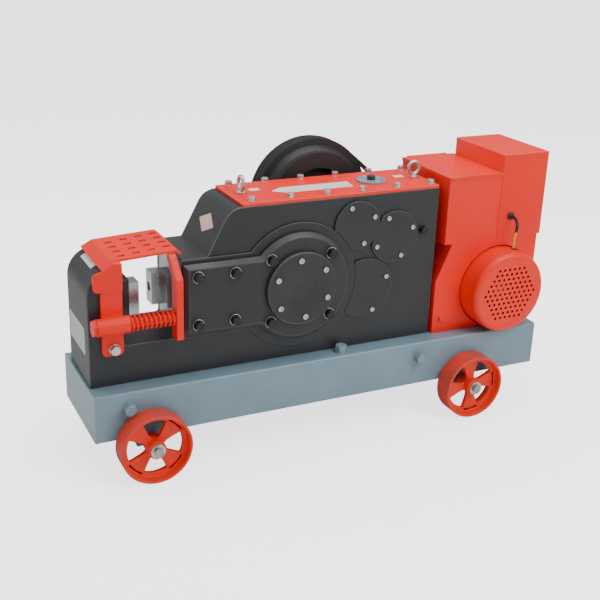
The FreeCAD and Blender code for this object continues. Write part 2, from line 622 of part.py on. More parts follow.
# ---------------------------------------------------------------- covers on the front wall
def make_crank_cover():
    x, z = CRANK_AXIS
    plate_y = (HOUSING_FRONT - CRANK_PLATE, HOUSING_FRONT)
    seat = rod_y(CRANK_AXIS, plate_y, CRANK_PLATE_RADIUS)
    bar = box((CRANK_PLATE_LEFT, x), plate_y, (z - CRANK_PLATE_HALF, z + CRANK_PLATE_HALF))
    write_node("crank_cover_plate", seat.fuse(bar).removeSplitter())

    front, back = CRANK_COVER_FRONT, plate_y[0]
    shoulder = front + CRANK_COVER_BEVEL
    rim, face = CRANK_COVER_RADIUS, CRANK_COVER_RADIUS - CRANK_COVER_BEVEL
    disc = turned_y(CRANK_AXIS, [(0.0, front), (face, front), (rim, shoulder), (rim, back), (0.0, back)])
    ends = (
        (CRANK_COVER_LEFT, CRANK_COVER_HALF, back),
        (CRANK_COVER_LEFT, CRANK_COVER_HALF, shoulder),
        (CRANK_COVER_LEFT + CRANK_COVER_BEVEL, CRANK_COVER_HALF - BAR_BEVEL, front),
    )
    wires = []
    for left, half, y in ends:
        corners = ((left, z - half), (x, z - half), (x, z + half), (left, z + half), (left, z - half))
        wires.append(Part.makePolygon([FreeCAD.Vector(px, y, pz) for px, pz in corners]))
    straight = Part.makeLoft(wires[0:2], True, True)
    bevelled = Part.makeLoft(wires[1:3], True, True)
    write_node("crank_cover", disc.fuse([straight, bevelled]).removeSplitter())

    cap_front = front - BEARING_CAP
    cap = turned_y(CRANK_AXIS, [
        (0.0, cap_front), (BEARING_CAP_RADIUS - 3.0, cap_front), (BEARING_CAP_RADIUS, cap_front + 3.0),
        (BEARING_CAP_RADIUS, front), (0.0, front),
    ])
    write_node("bearing_cap", cap)
    screws = []
    for turn in range(6):
        sx, sz = polar(CRANK_AXIS, CAP_SCREW_CIRCLE, 36 + 60 * turn)
        screws.append(socket_screw(FreeCAD.Vector(sx, cap_front, sz), FORWARD, 8.0, 5.0))
    places = [polar(CRANK_AXIS, COVER_BOLT_CIRCLE, 45 + 90 * turn) for turn in range(4)]
    places += [(bx, bz) for bx in BAR_BOLT_XS for bz in BAR_BOLT_ZS]
    bolts = [hex_bolt(FreeCAD.Vector(bx, front, bz), FORWARD, COVER_BOLT) for bx, bz in places]
    write_node("crank_cover_bolts", *screws, *bolts)


def cover_screws(axis, circle, y, direction):
    """Four socket screws on a circle round a shaft, except where the crank plate takes their place."""
    screws = []
    for turn in range(4):
        x, z = polar(axis, circle, SHAFT_COVER_FIRST_SCREW + 90 * turn)
        on_plate = math.hypot(x - CRANK_AXIS[0], z - CRANK_AXIS[1]) < CRANK_PLATE_RADIUS + 10.0
        if direction == BACKWARD or not on_plate:
            screws.append(socket_screw(FreeCAD.Vector(x, y, z), direction, 7.0, 4.0))
    return screws


def make_shaft_covers():
    """Round covers over the shafts: three on the front wall, flattened where they meet, four behind."""
    y_span = (HOUSING_FRONT - SHAFT_COVER, HOUSING_FRONT)
    covers, screws = [], []
    rings = (
        (INPUT_AXIS, 71.0, 56.7, INTERMEDIATE_AXIS, 67.0),
        (INTERMEDIATE_AXIS, 76.0, 61.8, INPUT_AXIS, 62.0),
        (SECOND_AXIS, 88.0, 74.0, None, 0.0),
    )
    for axis, radius, screw_circle, neighbour, flat in rings:
        cover = rod_y(axis, y_span, radius)
        if neighbour:
            towards = math.degrees(math.atan2(neighbour[1] - axis[1], neighbour[0] - axis[0]))
            cover = cover.cut(flat_side(axis, towards, flat, y_span))
        covers.append(cover.cut(rod_y(CRANK_AXIS, y_span, CRANK_PLATE_RADIUS + COVER_GAP)))
        screws += cover_screws(axis, screw_circle, y_span[0], FORWARD)

    y_span = (HOUSING_BACK, HOUSING_BACK + SHAFT_COVER)
    for axis, seat_radius in zip(SHAFT_AXES, SEAT_RADII):
        cover = rod_y(axis, y_span, seat_radius + REAR_COVER_MARGIN)
        if axis == INPUT_AXIS:
            cover = cover.cut(rod_y(axis, y_span, INPUT_RADIUS + 1.0))
        covers.append(cover)
        screws += cover_screws(axis, seat_radius + REAR_COVER_MARGIN / 2, y_span[1], BACKWARD)
    write_node("shaft_covers", *covers)
    plug = hex_prism(FreeCAD.Vector(PLUG_PLACE[0], HOUSING_FRONT, PLUG_PLACE[1]), FORWARD, 24.0, 12.0)
    bracket_bolt = hex_bolt(FreeCAD.Vector(*BRACKET_BOLT_PLACE), FORWARD, COVER_BOLT)
    write_node("housing_screws", *screws, plug, bracket_bolt)


def flat_side(axis, towards, distance, y_span):
    """Block that trims a round cover at the given distance from its centre."""
    reach = 200.0
    block = box((axis[0] + distance, axis[0] + distance + reach), y_span, (axis[1] - reach, axis[1] + reach))
    block.rotate(FreeCAD.Vector(axis[0], 0, axis[1]), BACKWARD, -towards)
    return block


# ---------------------------------------------------------------- gear train and ram
def grooved_rim(outer, first_y, last_y):
    """Rim outline with V grooves from y = first_y to last_y, as (radius, y) points."""
    points = [(outer, first_y)]
    bottom_half = GROOVE_HALF_WIDTH - GROOVE_DEPTH * GROOVE_SLOPE
    for groove in range(GROOVE_COUNT):
        y = FIRST_GROOVE_Y + groove * GROOVE_PITCH
        points.append((outer, y - GROOVE_HALF_WIDTH))
        points.append((outer - GROOVE_DEPTH, y - bottom_half))
        points.append((outer - GROOVE_DEPTH, y + bottom_half))
        points.append((outer, y + GROOVE_HALF_WIDTH))
    points.append((outer, last_y))
    return points


def make_gear_train():
    first_phase = math.radians(90.0)
    first_gear_phase = mesh_phase(INPUT_AXIS, FIRST_PINION, first_phase, INTERMEDIATE_AXIS, FIRST_GEAR)
    second_phase = math.radians(90.0)
    second_gear_phase = mesh_phase(
        INTERMEDIATE_AXIS, SECOND_PINION, second_phase, SECOND_AXIS, SECOND_GEAR)
    third_phase = math.radians(90.0)
    third_gear_phase = mesh_phase(SECOND_AXIS, THIRD_PINION, third_phase, CRANK_AXIS, THIRD_GEAR)

    shaft = rod_y(INPUT_AXIS, (60.0, 398.0), INPUT_RADIUS)
    pinion = spur_gear(INPUT_AXIS, FIRST_MODULE, FIRST_PINION, first_phase, FIRST_GEAR_LAYER)
    nut = hex_prism(FreeCAD.Vector(INPUT_AXIS[0], 393.0, INPUT_AXIS[1]), BACKWARD, 50.0, 14.0)
    write_node("input_shaft", shaft.fuse([pinion, nut]))

    shaft = rod_y(INTERMEDIATE_AXIS, (60.0, 258.0), INTERMEDIATE_RADIUS)
    pinion = spur_gear(INTERMEDIATE_AXIS, SECOND_MODULE, SECOND_PINION, second_phase, FRONT_GEAR_LAYER)
    write_node("intermediate_shaft", shaft.fuse(pinion))
    gear = spur_gear(INTERMEDIATE_AXIS, FIRST_MODULE, FIRST_GEAR, first_gear_phase,
                     FIRST_GEAR_LAYER, INTERMEDIATE_RADIUS)
    write_node("intermediate_gear", lighten(gear, INTERMEDIATE_AXIS, FIRST_GEAR_LAYER, 12.0, 78.0, 42.0))

    shaft = rod_y(SECOND_AXIS, (60.0, 258.0), SECOND_RADIUS)
    pinion = spur_gear(SECOND_AXIS, THIRD_MODULE, THIRD_PINION, third_phase, BACK_GEAR_LAYER)
    write_node("second_shaft", shaft.fuse(pinion))
    gear = spur_gear(SECOND_AXIS, SECOND_MODULE, SECOND_GEAR, second_gear_phase,
                     FRONT_GEAR_LAYER, SECOND_RADIUS)
    write_node("second_gear", lighten(gear, SECOND_AXIS, FRONT_GEAR_LAYER, 14.0, 105.0, 50.0))

    gear = spur_gear(CRANK_AXIS, THIRD_MODULE, THIRD_GEAR, third_gear_phase,
                     BACK_GEAR_LAYER, CRANK_RADIUS)
    write_node("main_gear", lighten(gear, CRANK_AXIS, BACK_GEAR_LAYER, 16.0, 145.0, 62.0))
    crank = rod_y(CRANK_AXIS, (60.0, 258.0), CRANK_RADIUS)
    eccentric = rod_y((CRANK_AXIS[0] + STROKE / 2, CRANK_AXIS[1]), ECCENTRIC_LAYER, ECCENTRIC_RADIUS)
    write_node("crank_shaft", crank.fuse(eccentric))

    rings = []
    front_seat_y = (HOUSING_FRONT + 1.0, HOUSING_FRONT + WALL)
    back_seat_y = (HOUSING_BACK - WALL, HOUSING_BACK - 1.0)
    for axis, shaft_radius, seat_radius in zip(SHAFT_AXES, SHAFT_RADII, SEAT_RADII):
        for y_span in (front_seat_y, back_seat_y):
            rings.append(ring_y(axis, y_span, seat_radius, shaft_radius + RUNNING_FIT))
    write_node("bearings", *rings)

    hub, recess, step = FLYWHEEL_HUB_RADIUS, FLYWHEEL_RECESS_RADIUS, FLYWHEEL_STEP_RADIUS
    web_front, web_back = FLYWHEEL_WEB_Y
    front_y, rim_front_y, last_y = FLYWHEEL_Y
    profile = [
        (INPUT_RADIUS, front_y - 5.0), (hub, front_y - 5.0), (hub, web_front), (recess, web_front),
        (recess, front_y), (step, front_y), (step, front_y + 21.0), (step + 13.0, rim_front_y),
    ]
    profile += grooved_rim(FLYWHEEL_RADIUS, rim_front_y, last_y)
    profile += [(recess, last_y), (recess, web_back), (hub, web_back), (hub, last_y)]
    profile.append((INPUT_RADIUS, last_y))
    write_node("flywheel", turned_y(INPUT_AXIS, profile))


def make_ram():
    """Ram with its yoke: the eccentric turns inside the yoke's window with room at every ram place."""
    sweep = STROKE / 2 + ECCENTRIC_RADIUS + YOKE_CLEARANCE
    x, z = CRANK_AXIS
    window_x = (x - sweep, x + sweep + STROKE)
    yoke_x = (window_x[0] - YOKE_WALL, window_x[1] + YOKE_WALL)
    bar = box((RAM_NOSE_X, yoke_x[0]), RAM_Y, RAM_Z)
    yoke = box(yoke_x, YOKE_Y, (z - YOKE_HALF_HEIGHT, z + YOKE_HALF_HEIGHT))
    yoke = yoke.cut(box(window_x, YOKE_Y, (z - sweep, z + sweep)))
    write_node("ram", bar.fuse(yoke))

    for name, face_x, side in (("fixed_blade", FIXED_BLADE_FACE_X, -1), ("moving_blade", RAM_NOSE_X, 1)):
        y_span = sorted((BLADE_SHEAR_Y + side, BLADE_SHEAR_Y + side * (BLADE_WIDTH + 1)))
        x_span = (face_x - BLADE_THICKNESS, face_x)
        blade = box(x_span, y_span, RAM_Z)
        open_face = x_span[1] if side < 0 else x_span[0]
        middle_y = (y_span[0] + y_span[1]) / 2
        recess_x = sorted((open_face, open_face + side * 14.0))
        screw_x = sorted((open_face + side * 4.0, open_face + side * 14.0))
        blade = blade.cut(rod_x(recess_x, middle_y, z, 13.0))
        screw = rod_x(screw_x, middle_y, z, 13.0)
        write_node(name, blade, screw)


# ---------------------------------------------------------------- mouth guard
def make_guard():
    """Hinged guard over the mouth, its pivot shaft and return spring, and the fixed bracket."""
    lip = [(76.0, 476.0), (76.0, 470.0), (52.0, HEAD_TOP + 0.5), (46.0, HEAD_TOP + 0.5)]
    roof = [(76.0, 470.0), (250.0, 480.0), (262.0, 470.0), (266.0, 474.0), (252.0, 486.0), (76.0, 476.0)]
    plate = plate_xz(roof, (68.0, 258.0))
    edge = plate_xz(lip, (46.0, 258.0))
    slots = []
    for column in range(4):
        for row in range(4):
            x = 109.0 + column * GUARD_HOLE_PITCH
            y = 94.0 + column * 5.0 + row * GUARD_HOLE_PITCH * 0.92
            half = GUARD_HOLE_LENGTH / 2 - GUARD_HOLE_RADIUS
            ends = [rod_z((x + s * half, y), (460.0, 500.0), GUARD_HOLE_RADIUS) for s in (-1, 1)]
            bridge = box((x - half, x + half), (y - GUARD_HOLE_RADIUS, y + GUARD_HOLE_RADIUS), (460.0, 500.0))
            slots.append(ends[0].fuse([ends[1], bridge]))
    flange = plate_xz(
        [(20.0, 404.0, 14.0), (97.0, 404.0, 6.0), (97.0, 474.0), (76.0, 476.0),
         (46.0, HEAD_TOP + 0.5), (20.0, 452.0, 8.0)], (40.0, 46.0))
    front_fold = plate_yz([(46.0, 470.0), (68.0, 470.0), (68.0, 475.0), (46.0, 475.0)], (76.0, 97.0))
    guard = cut_all(plate, slots).fuse([edge, flange, front_fold])
    write_node("guard_plate", guard)

    arm_x = (228.0, 246.0)
    arm = plate_yz(
        [(3.0, 257.0, 6.0), (43.0, 257.0, 6.0), (43.0, 425.0), (80.0, 462.0), (80.0, 478.0),
         (68.0, 478.0), (56.0, 472.0), (3.0, 425.0, 10.0)], arm_x)
    arm = arm.cut(plate_xz(roof, (68.0, 258.0)))
    shaft = rod_x((19.7, arm_x[0]), HINGE_Y, HINGE_Z, HINGE_SHAFT_RADIUS)
    head = hex_prism(FreeCAD.Vector(19.7, HINGE_Y, HINGE_Z), RIGHT * -1, 39.0, 10.0)
    write_node("guard_arm", arm.fuse([shaft, head]))

    height = SPRING_X[1] - SPRING_X[0] - 2 * SPRING_WIRE
    helix = Part.makeHelix(height / SPRING_TURNS, height, SPRING_RADIUS)
    section = Part.makeCircle(SPRING_WIRE, FreeCAD.Vector(SPRING_RADIUS, 0, 0), BACKWARD)
    spring = Part.Wire(helix).makePipeShell([Part.Wire(section)], True, True)
    base = FreeCAD.Vector(SPRING_X[0] + SPRING_WIRE, HINGE_Y, HINGE_Z)
    spring.Placement = FreeCAD.Placement(base, FreeCAD.Rotation(UP, RIGHT))
    write_node("guard_spring", spring)

    tube_x = (20.0, 105.0)
    bore = rod_x(tube_x, HINGE_Y, HINGE_Z, HINGE_SHAFT_RADIUS + RUNNING_FIT)
    tube = rod_x(tube_x, HINGE_Y, HINGE_Z, HINGE_TUBE_RADIUS)
    back = plate_xz([(40.0, 224.0, 14.0), (97.0, 224.0, 14.0), (97.0, 440.0, 4.0), (40.0, 440.0, 4.0)],
                    (46.5, HOUSING_FRONT))
    web = box((42.0, 95.0), (HINGE_Y, 47.0), (HINGE_Z - 16.0, HINGE_Z + 16.0))
    write_node("guard_bracket", back.fuse([tube, web]).cut(bore))


# ---------------------------------------------------------------- motor and belts
def circle_edges(shape, limit_y):
    """Circular edges of a shape that lie in front of y = limit_y."""
    return [e for e in shape.Edges if isinstance(e.Curve, Part.Circle) and e.CenterOfMass.y < limit_y]


def spun_blocks(x_span, y_span, half, angles):
    """Blocks drawn along x from the motor's axis and turned to each angle."""
    blocks = []
    for angle in angles:
        block = box(x_span, y_span, (MOTOR_AXIS[1] - half, MOTOR_AXIS[1] + half))
        block.rotate(FreeCAD.Vector(MOTOR_AXIS[0], 0, MOTOR_AXIS[1]), BACKWARD, angle)
        blocks.append(block)
    return blocks


def make_motor():
    centre = MOTOR_AXIS
    x = centre[0]
    fin_angles = [-360.0 * step / MOTOR_FINS for step in range(MOTOR_FINS)]
    fin_angles = [angle for angle in fin_angles if not -295.0 < angle < -245.0]
    fins = spun_blocks(
        (x + MOTOR_BODY_RADIUS - 3.0, x + MOTOR_BODY_RADIUS + 10.0),
        (MOTOR_Y[0] + 22.0, MOTOR_Y[1] - 22.0), 1.5, fin_angles)
    feet = []
    for foot_x in (x - MOTOR_FOOT_OFFSET, x + MOTOR_FOOT_OFFSET):
        feet.append(box((foot_x - 30.0, foot_x + 30.0), (95.0, 235.0), (BASE_HEIGHT, 152.0)))
        feet.append(box((foot_x - 9.0, foot_x + 9.0), (105.0, 225.0), (BASE_HEIGHT, 215.0)))
    nose = rod_y(centre, (MOTOR_Y[1], MOTOR_Y[1] + 8.0), 55.0)
    motor = rod_y(centre, MOTOR_Y, MOTOR_BODY_RADIUS).fuse(fins + feet + [nose])
    write_node("motor_body", motor.cut(rod_y(centre, (0.0, 400.0), MOTOR_SHAFT_RADIUS + RUNNING_FIT)))
    write_node("motor_rotor", rod_y(centre, (18.0, 398.0), MOTOR_SHAFT_RADIUS))

    blades = spun_blocks((x + 24.0, x + FAN_RADIUS), (22.0, 46.0), 1.5, range(0, 360, 45))
    hub = rod_y(centre, (20.0, 50.0), 32.0).fuse(rod_y(centre, (46.0, 49.0), FAN_RADIUS))
    write_node("motor_fan", hub.fuse(blades).cut(rod_y(centre, (0.0, 60.0), MOTOR_SHAFT_RADIUS)))

    shell = rod_y(centre, COWL_Y, COWL_RADIUS)
    shell = shell.makeFillet(COWL_EDGE_RADIUS, circle_edges(shell, COWL_Y[0] + 1.0))
    inside = rod_y(centre, (COWL_Y[0] + COWL_SHEET, COWL_Y[1] + 1.0), COWL_RADIUS - COWL_SHEET)
    inside = inside.makeFillet(COWL_EDGE_RADIUS - COWL_SHEET, circle_edges(inside, COWL_Y[0] + 4.0))
    holes = [rod_y(hole, (COWL_Y[0] - 1.0, COWL_Y[0] + 4.0), COWL_HOLE_RADIUS) for hole in cowl_holes()]
    lugs = spun_blocks(
        (x + MOTOR_BODY_RADIUS, x + COWL_RADIUS - 1.0), (48.0, COWL_Y[1]), 8.0, range(45, 405, 90))
    write_node("motor_fan_cowl", cut_all(shell.cut(inside), holes).fuse(lugs))

    front_y, back_y = FLYWHEEL_Y[1], FLYWHEEL_Y[2] + 1.0
    profile = [(MOTOR_SHAFT_RADIUS, front_y)] + grooved_rim(PULLEY_RADIUS, front_y, back_y)
    profile.append((MOTOR_SHAFT_RADIUS, back_y))
    write_node("motor_pulley", turned_y(centre, profile))


def cowl_holes():
    """Centres of the air holes: a hexagonal grid trimmed to a hexagon."""
    rings = int(COWL_HOLE_FIELD / COWL_HOLE_PITCH)
    centres = []
    for q in range(-rings, rings + 1):
        for r in range(-rings, rings + 1):
            if abs(q + r) > rings:
                continue
            x = MOTOR_AXIS[0] + COWL_HOLE_PITCH * (q + r / 2)
            z = MOTOR_AXIS[1] + COWL_HOLE_PITCH * r * math.sqrt(3.0) / 2
            centres.append((x, z))
    return centres


def belt_loop(flywheel_radius, pulley_radius, y_span):
    """Solid filled to the outline of a belt that runs over both wheels at these radii."""
    discs = [rod_y(INPUT_AXIS, y_span, flywheel_radius), rod_y(MOTOR_AXIS, y_span, pulley_radius)]
    line = math.degrees(math.atan2(MOTOR_AXIS[1] - INPUT_AXIS[1], MOTOR_AXIS[0] - INPUT_AXIS[0]))
    distance = math.hypot(MOTOR_AXIS[0] - INPUT_AXIS[0], MOTOR_AXIS[1] - INPUT_AXIS[1])
    lean = math.degrees(math.acos((flywheel_radius - pulley_radius) / distance))
    corners = [
        polar(INPUT_AXIS, flywheel_radius, line + lean), polar(MOTOR_AXIS, pulley_radius, line + lean),
        polar(MOTOR_AXIS, pulley_radius, line - lean), polar(INPUT_AXIS, flywheel_radius, line - lean),
    ]
    return plate_xz(corners, y_span).fuse(discs).removeSplitter()


def make_belts():
    belts = []
    for groove in range(GROOVE_COUNT):
        y = FIRST_GROOVE_Y + groove * GROOVE_PITCH
        y_span = (y - BELT_HALF_WIDTH, y + BELT_HALF_WIDTH)
        outer = belt_loop(FLYWHEEL_RADIUS + BELT_PROUD, PULLEY_RADIUS + BELT_PROUD, y_span)
        inner = belt_loop(FLYWHEEL_RADIUS - BELT_SINK, PULLEY_RADIUS - BELT_SINK, y_span)
        belts.append(outer.cut(inner))
    write_node("v_belts", *belts)


# ---------------------------------------------------------------- sheet metal boxes
def make_boxes():
    sheet = BOX_SHEET
    x_span, y_span, z_span = TOOL_BOX_X, (BOX_FRONT, TOOL_BOX_BACK), (BOX_FLOOR, TOOL_BOX_TOP)
    outer = box(x_span, y_span, z_span)
    inside = box((x_span[0] + sheet, x_span[1] - sheet), (y_span[0] + sheet, y_span[1] - sheet),
                 (z_span[0] + sheet, z_span[1]))
    hinge_y, hinge_z = TOOL_BOX_BACK + 7.0, TOOL_BOX_TOP - 2.0
    pin = rod_x(LID_PIN_X, hinge_y, hinge_z, LID_PIN_RADIUS)
    knuckles = []
    for left in (LID_PIN_X[0], LID_PIN_X[1] - KNUCKLE_LENGTH):
        knuckle_x = (left, left + KNUCKLE_LENGTH)
        knuckles.append(rod_x(knuckle_x, hinge_y, hinge_z, KNUCKLE_RADIUS))
        knuckles.append(box(knuckle_x, (TOOL_BOX_BACK, hinge_y), (hinge_z - 20.0, hinge_z)))
    write_node("tool_box", outer.cut(inside).fuse([pin] + knuckles))

    lid_x = (x_span[0] - LID_GAP - sheet, x_span[1] - LID_GAP)
    lid_y = (BOX_FRONT - LID_GAP - sheet, TOOL_BOX_BACK - 2.0)
    top_z = (TOOL_BOX_TOP + LID_GAP, TOOL_BOX_TOP + LID_GAP + sheet)
    lip_z = (TOOL_BOX_TOP - 7.0, top_z[1])
    top = box(lid_x, lid_y, top_z)
    front_lip = box(lid_x, (lid_y[0], lid_y[0] + sheet), lip_z)
    left_lip = box((lid_x[0], lid_x[0] + sheet), lid_y, lip_z)
    leaf_x = (LID_PIN_X[0] + KNUCKLE_LENGTH + 0.5, LID_PIN_X[1] - KNUCKLE_LENGTH - 0.5)
    leaf = box(leaf_x, (lid_y[1], hinge_y), top_z)
    barrel = rod_x(leaf_x, hinge_y, hinge_z, KNUCKLE_RADIUS)
    lid = top.fuse([front_lip, left_lip, leaf, barrel])
    write_node("tool_box_lid", lid.cut(rod_x(leaf_x, hinge_y, hinge_z, LID_PIN_RADIUS + RUNNING_FIT)))

    x_span = CONTROL_BOX_X
    y_span = (BOX_FRONT, CONTROL_BOX_BACK)
    z_span = (BOX_FLOOR, CONTROL_BOX_TOP)
    outer = box(x_span, y_span, z_span)
    inside = box((x_span[0] + sheet, x_span[1] - sheet), (y_span[0] + sheet, y_span[1] - sheet),
                 (z_span[0] + sheet, z_span[1] - sheet))
    cabinet = outer.cut(inside)
    end = x_span[1]
    station = box((end, end + 10.0), (BUTTON_Y - 28.0, BUTTON_Y + 28.0), (515.0, 632.0))
    holes = []
    for name, z in BUTTON_ZS.items():
        holes.append(rod_x((end - sheet, end + 10.0), BUTTON_Y, z, BUTTON_RADIUS + 0.4))
        write_node(name, rod_x((end + 1.0, BUTTON_TIP_X), BUTTON_Y, z, BUTTON_RADIUS))
    write_node("control_box", cut_all(cabinet.fuse(station), holes))


def make_lower_cover():
    """Sheet cover under the two boxes, open at the back, with a round opening for the motor."""
    sheet = BOX_SHEET
    left_low, left_high = COVER_LEFT
    y_span = (BOX_FRONT, BOX_FRONT + sheet)
    front = plate_xz([(left_low, BASE_HEIGHT), (COVER_RIGHT, BASE_HEIGHT), (COVER_RIGHT, BOX_FLOOR),
                      (left_high, BOX_FLOOR), (left_low, COVER_KINK_Z)], y_span)
    front = front.cut(rod_y(MOTOR_AXIS, y_span, COWL_RADIUS + 3.0))
    side_y = (y_span[1], TOOL_BOX_BACK)
    low_side = box((left_low, left_low + sheet), side_y, (BASE_HEIGHT, COVER_KINK_Z))
    lean_side = plate_xz([(left_low, COVER_KINK_Z), (left_low + sheet, COVER_KINK_Z),
                          (left_high + sheet, BOX_FLOOR), (left_high, BOX_FLOOR)], side_y)
    right_y = (y_span[1], CONTROL_BOX_BACK)
    right_side = box((COVER_RIGHT - sheet, COVER_RIGHT), right_y, (BASE_HEIGHT, BOX_FLOOR))
    bolt = hex_bolt(FreeCAD.Vector(1075.0, BOX_FRONT, 180.0), FORWARD, 13.0, washer=1.5)
    write_node("lower_cover", front, low_side, lean_side, right_side, bolt)


def make_belt_guard():
    """Box over the belts at the motor pulley, behind the boxes, open towards the flywheel."""
    sheet = BOX_SHEET
    x_span, y_span, z_span = BELT_GUARD_X, (TOOL_BOX_BACK + 3.0, BELT_GUARD_BACK), BELT_GUARD_Z
    outer = box(x_span, y_span, z_span)
    inside = box((x_span[0], x_span[1] - sheet), (y_span[0] + sheet, y_span[1] - sheet),
                 (z_span[0] + sheet, z_span[1] - sheet))
    shaft_hole = rod_y(MOTOR_AXIS, (y_span[0], y_span[0] + sheet), MOTOR_SHAFT_RADIUS + 12.0)
    write_node("belt_guard", outer.cut(inside).cut(shaft_hole))


def tangent_path(route):
    """Path of straight runs joined by tangent arcs, each as large as its two runs allow."""
    points = [FreeCAD.Vector(*point) for point in route]
    edges = []
    start = points[0]
    for before, corner, after in zip(points, points[1:], points[2:]):
        back = before - corner
        ahead = after - corner
        reach = 0.45 * min(back.Length, ahead.Length)
        half_turn = (math.pi - back.getAngle(ahead)) / 2
        radius = reach / math.tan(half_turn)
        print("lead bend radius %.1f mm" % radius)
        back.normalize()
        ahead.normalize()
        bisector = (back + ahead).normalize()
        middle = corner + bisector * (radius / math.cos(half_turn) - radius)
        arc_start = corner + back * reach
        arc_end = corner + ahead * reach
        edges.append(Part.makeLine(start, arc_start))
        edges.append(Part.Arc(arc_start, middle, arc_end).toShape())
        start = arc_end
    edges.append(Part.makeLine(start, points[-1]))
    return Part.Wire(edges)


def make_motor_lead():
    """Gland on the control box, the short lead down to the motor, and the grommet in the cowl."""
    path = tangent_path(LEAD_ROUTE)
    first = FreeCAD.Vector(*LEAD_ROUTE[0])
    direction = FreeCAD.Vector(*LEAD_ROUTE[1]) - first
    section = Part.Wire(Part.makeCircle(LEAD_RADIUS, first, direction))
    tube = path.makePipeShell([section], True, True)
    print("lead length %.1f mm, volume ratio %.3f" % (
        path.Length, tube.Volume / (math.pi * LEAD_RADIUS**2 * path.Length)))
    write_node("motor_lead", tube)
    x, y, z = LEAD_ROUTE[0]
    gland = rod_y((x, z), (y, BOX_FRONT), GLAND_RADIUS)
    x, y, z = LEAD_ROUTE[-1]
    grommet = rod_z((x, y), (z - 10.0, z), GROMMET_RADIUS)
    write_node("lead_gland", gland, grommet.cut(rod_y(MOTOR_AXIS, COWL_Y, COWL_RADIUS)))


def main():
    os.makedirs("parts", exist_ok=True)
    make_base()
    make_wheels()
    make_housing()
    make_top()
    make_crank_cover()
    make_shaft_covers()
    make_gear_train()
    make_ram()
    make_guard()
    make_motor()
    make_belts()
    make_boxes()
    make_lower_cover()
    make_belt_guard()
    make_motor_lead()


main()
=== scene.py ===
"""Studio scene of a powered rebar cutter: a geared shear on a wheeled channel frame.

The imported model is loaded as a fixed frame. Sizes below are in millimetres in the machine's own
frame (x along the base from its left end, y back from its front face, z up from its underside),
and Machine turns them into metres in the row's frame.
"""
from __future__ import annotations

import json
import logging
import math
from dataclasses import dataclass, field
from enum import Enum

import bpy
import numpy as np
from mathutils import Matrix, Vector

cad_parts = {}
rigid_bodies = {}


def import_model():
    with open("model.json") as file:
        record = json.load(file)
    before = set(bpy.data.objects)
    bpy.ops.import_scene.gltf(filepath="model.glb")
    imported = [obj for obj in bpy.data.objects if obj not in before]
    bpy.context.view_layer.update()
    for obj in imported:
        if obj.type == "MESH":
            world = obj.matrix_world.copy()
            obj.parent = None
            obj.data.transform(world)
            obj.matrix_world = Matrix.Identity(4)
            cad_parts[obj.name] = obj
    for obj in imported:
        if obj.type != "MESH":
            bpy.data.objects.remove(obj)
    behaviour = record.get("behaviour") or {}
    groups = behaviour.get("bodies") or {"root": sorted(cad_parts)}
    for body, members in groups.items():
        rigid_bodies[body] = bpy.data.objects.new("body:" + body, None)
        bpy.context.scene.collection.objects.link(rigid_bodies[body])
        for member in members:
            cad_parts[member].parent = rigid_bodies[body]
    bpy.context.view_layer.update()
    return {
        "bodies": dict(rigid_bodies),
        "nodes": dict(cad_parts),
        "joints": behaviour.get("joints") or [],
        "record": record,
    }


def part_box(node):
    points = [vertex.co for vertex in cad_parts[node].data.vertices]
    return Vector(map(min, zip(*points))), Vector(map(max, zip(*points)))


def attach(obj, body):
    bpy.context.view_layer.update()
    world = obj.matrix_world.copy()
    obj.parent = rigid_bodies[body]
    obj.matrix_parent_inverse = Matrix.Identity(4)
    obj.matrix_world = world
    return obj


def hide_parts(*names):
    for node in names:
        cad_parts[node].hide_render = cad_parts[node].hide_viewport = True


LOG = logging.getLogger("rebar_cutter")
Points = np.ndarray


# ---------------------------------------------------------------- finishes
def linear(hex_colour: str) -> tuple[float, float, float, float]:
    """Turn an sRGB hex colour into linear RGBA.

    Args:
        hex_colour: six hex digits.

    Returns:
        The linear colour with alpha 1.
    """
    channels = [int(hex_colour[i : i + 2], 16) / 255 for i in (0, 2, 4)]
    red, green, blue = (c / 12.92 if c <= 0.04045 else ((c + 0.055) / 1.055) ** 2.4 for c in channels)
    return red, green, blue, 1.0


def add_node(tree: bpy.types.NodeTree, kind: str, settings: dict, links: dict) -> bpy.types.Node:
    """Add one shader node with its settings, socket values and links.

    Args:
        tree: the material's node tree.
        kind: the node's type name.
        settings: attribute names, or input names, to their values.
        links: input names or indices to the output sockets that feed them.

    Returns:
        The new node.
    """
    node = tree.nodes.new(kind)
    for key, value in settings.items():
        if isinstance(key, str) and hasattr(node, key):
            setattr(node, key, value)
        else:
            node.inputs[key].default_value = value
    for key, socket in links.items():
        tree.links.new(socket, node.inputs[key])
    return node


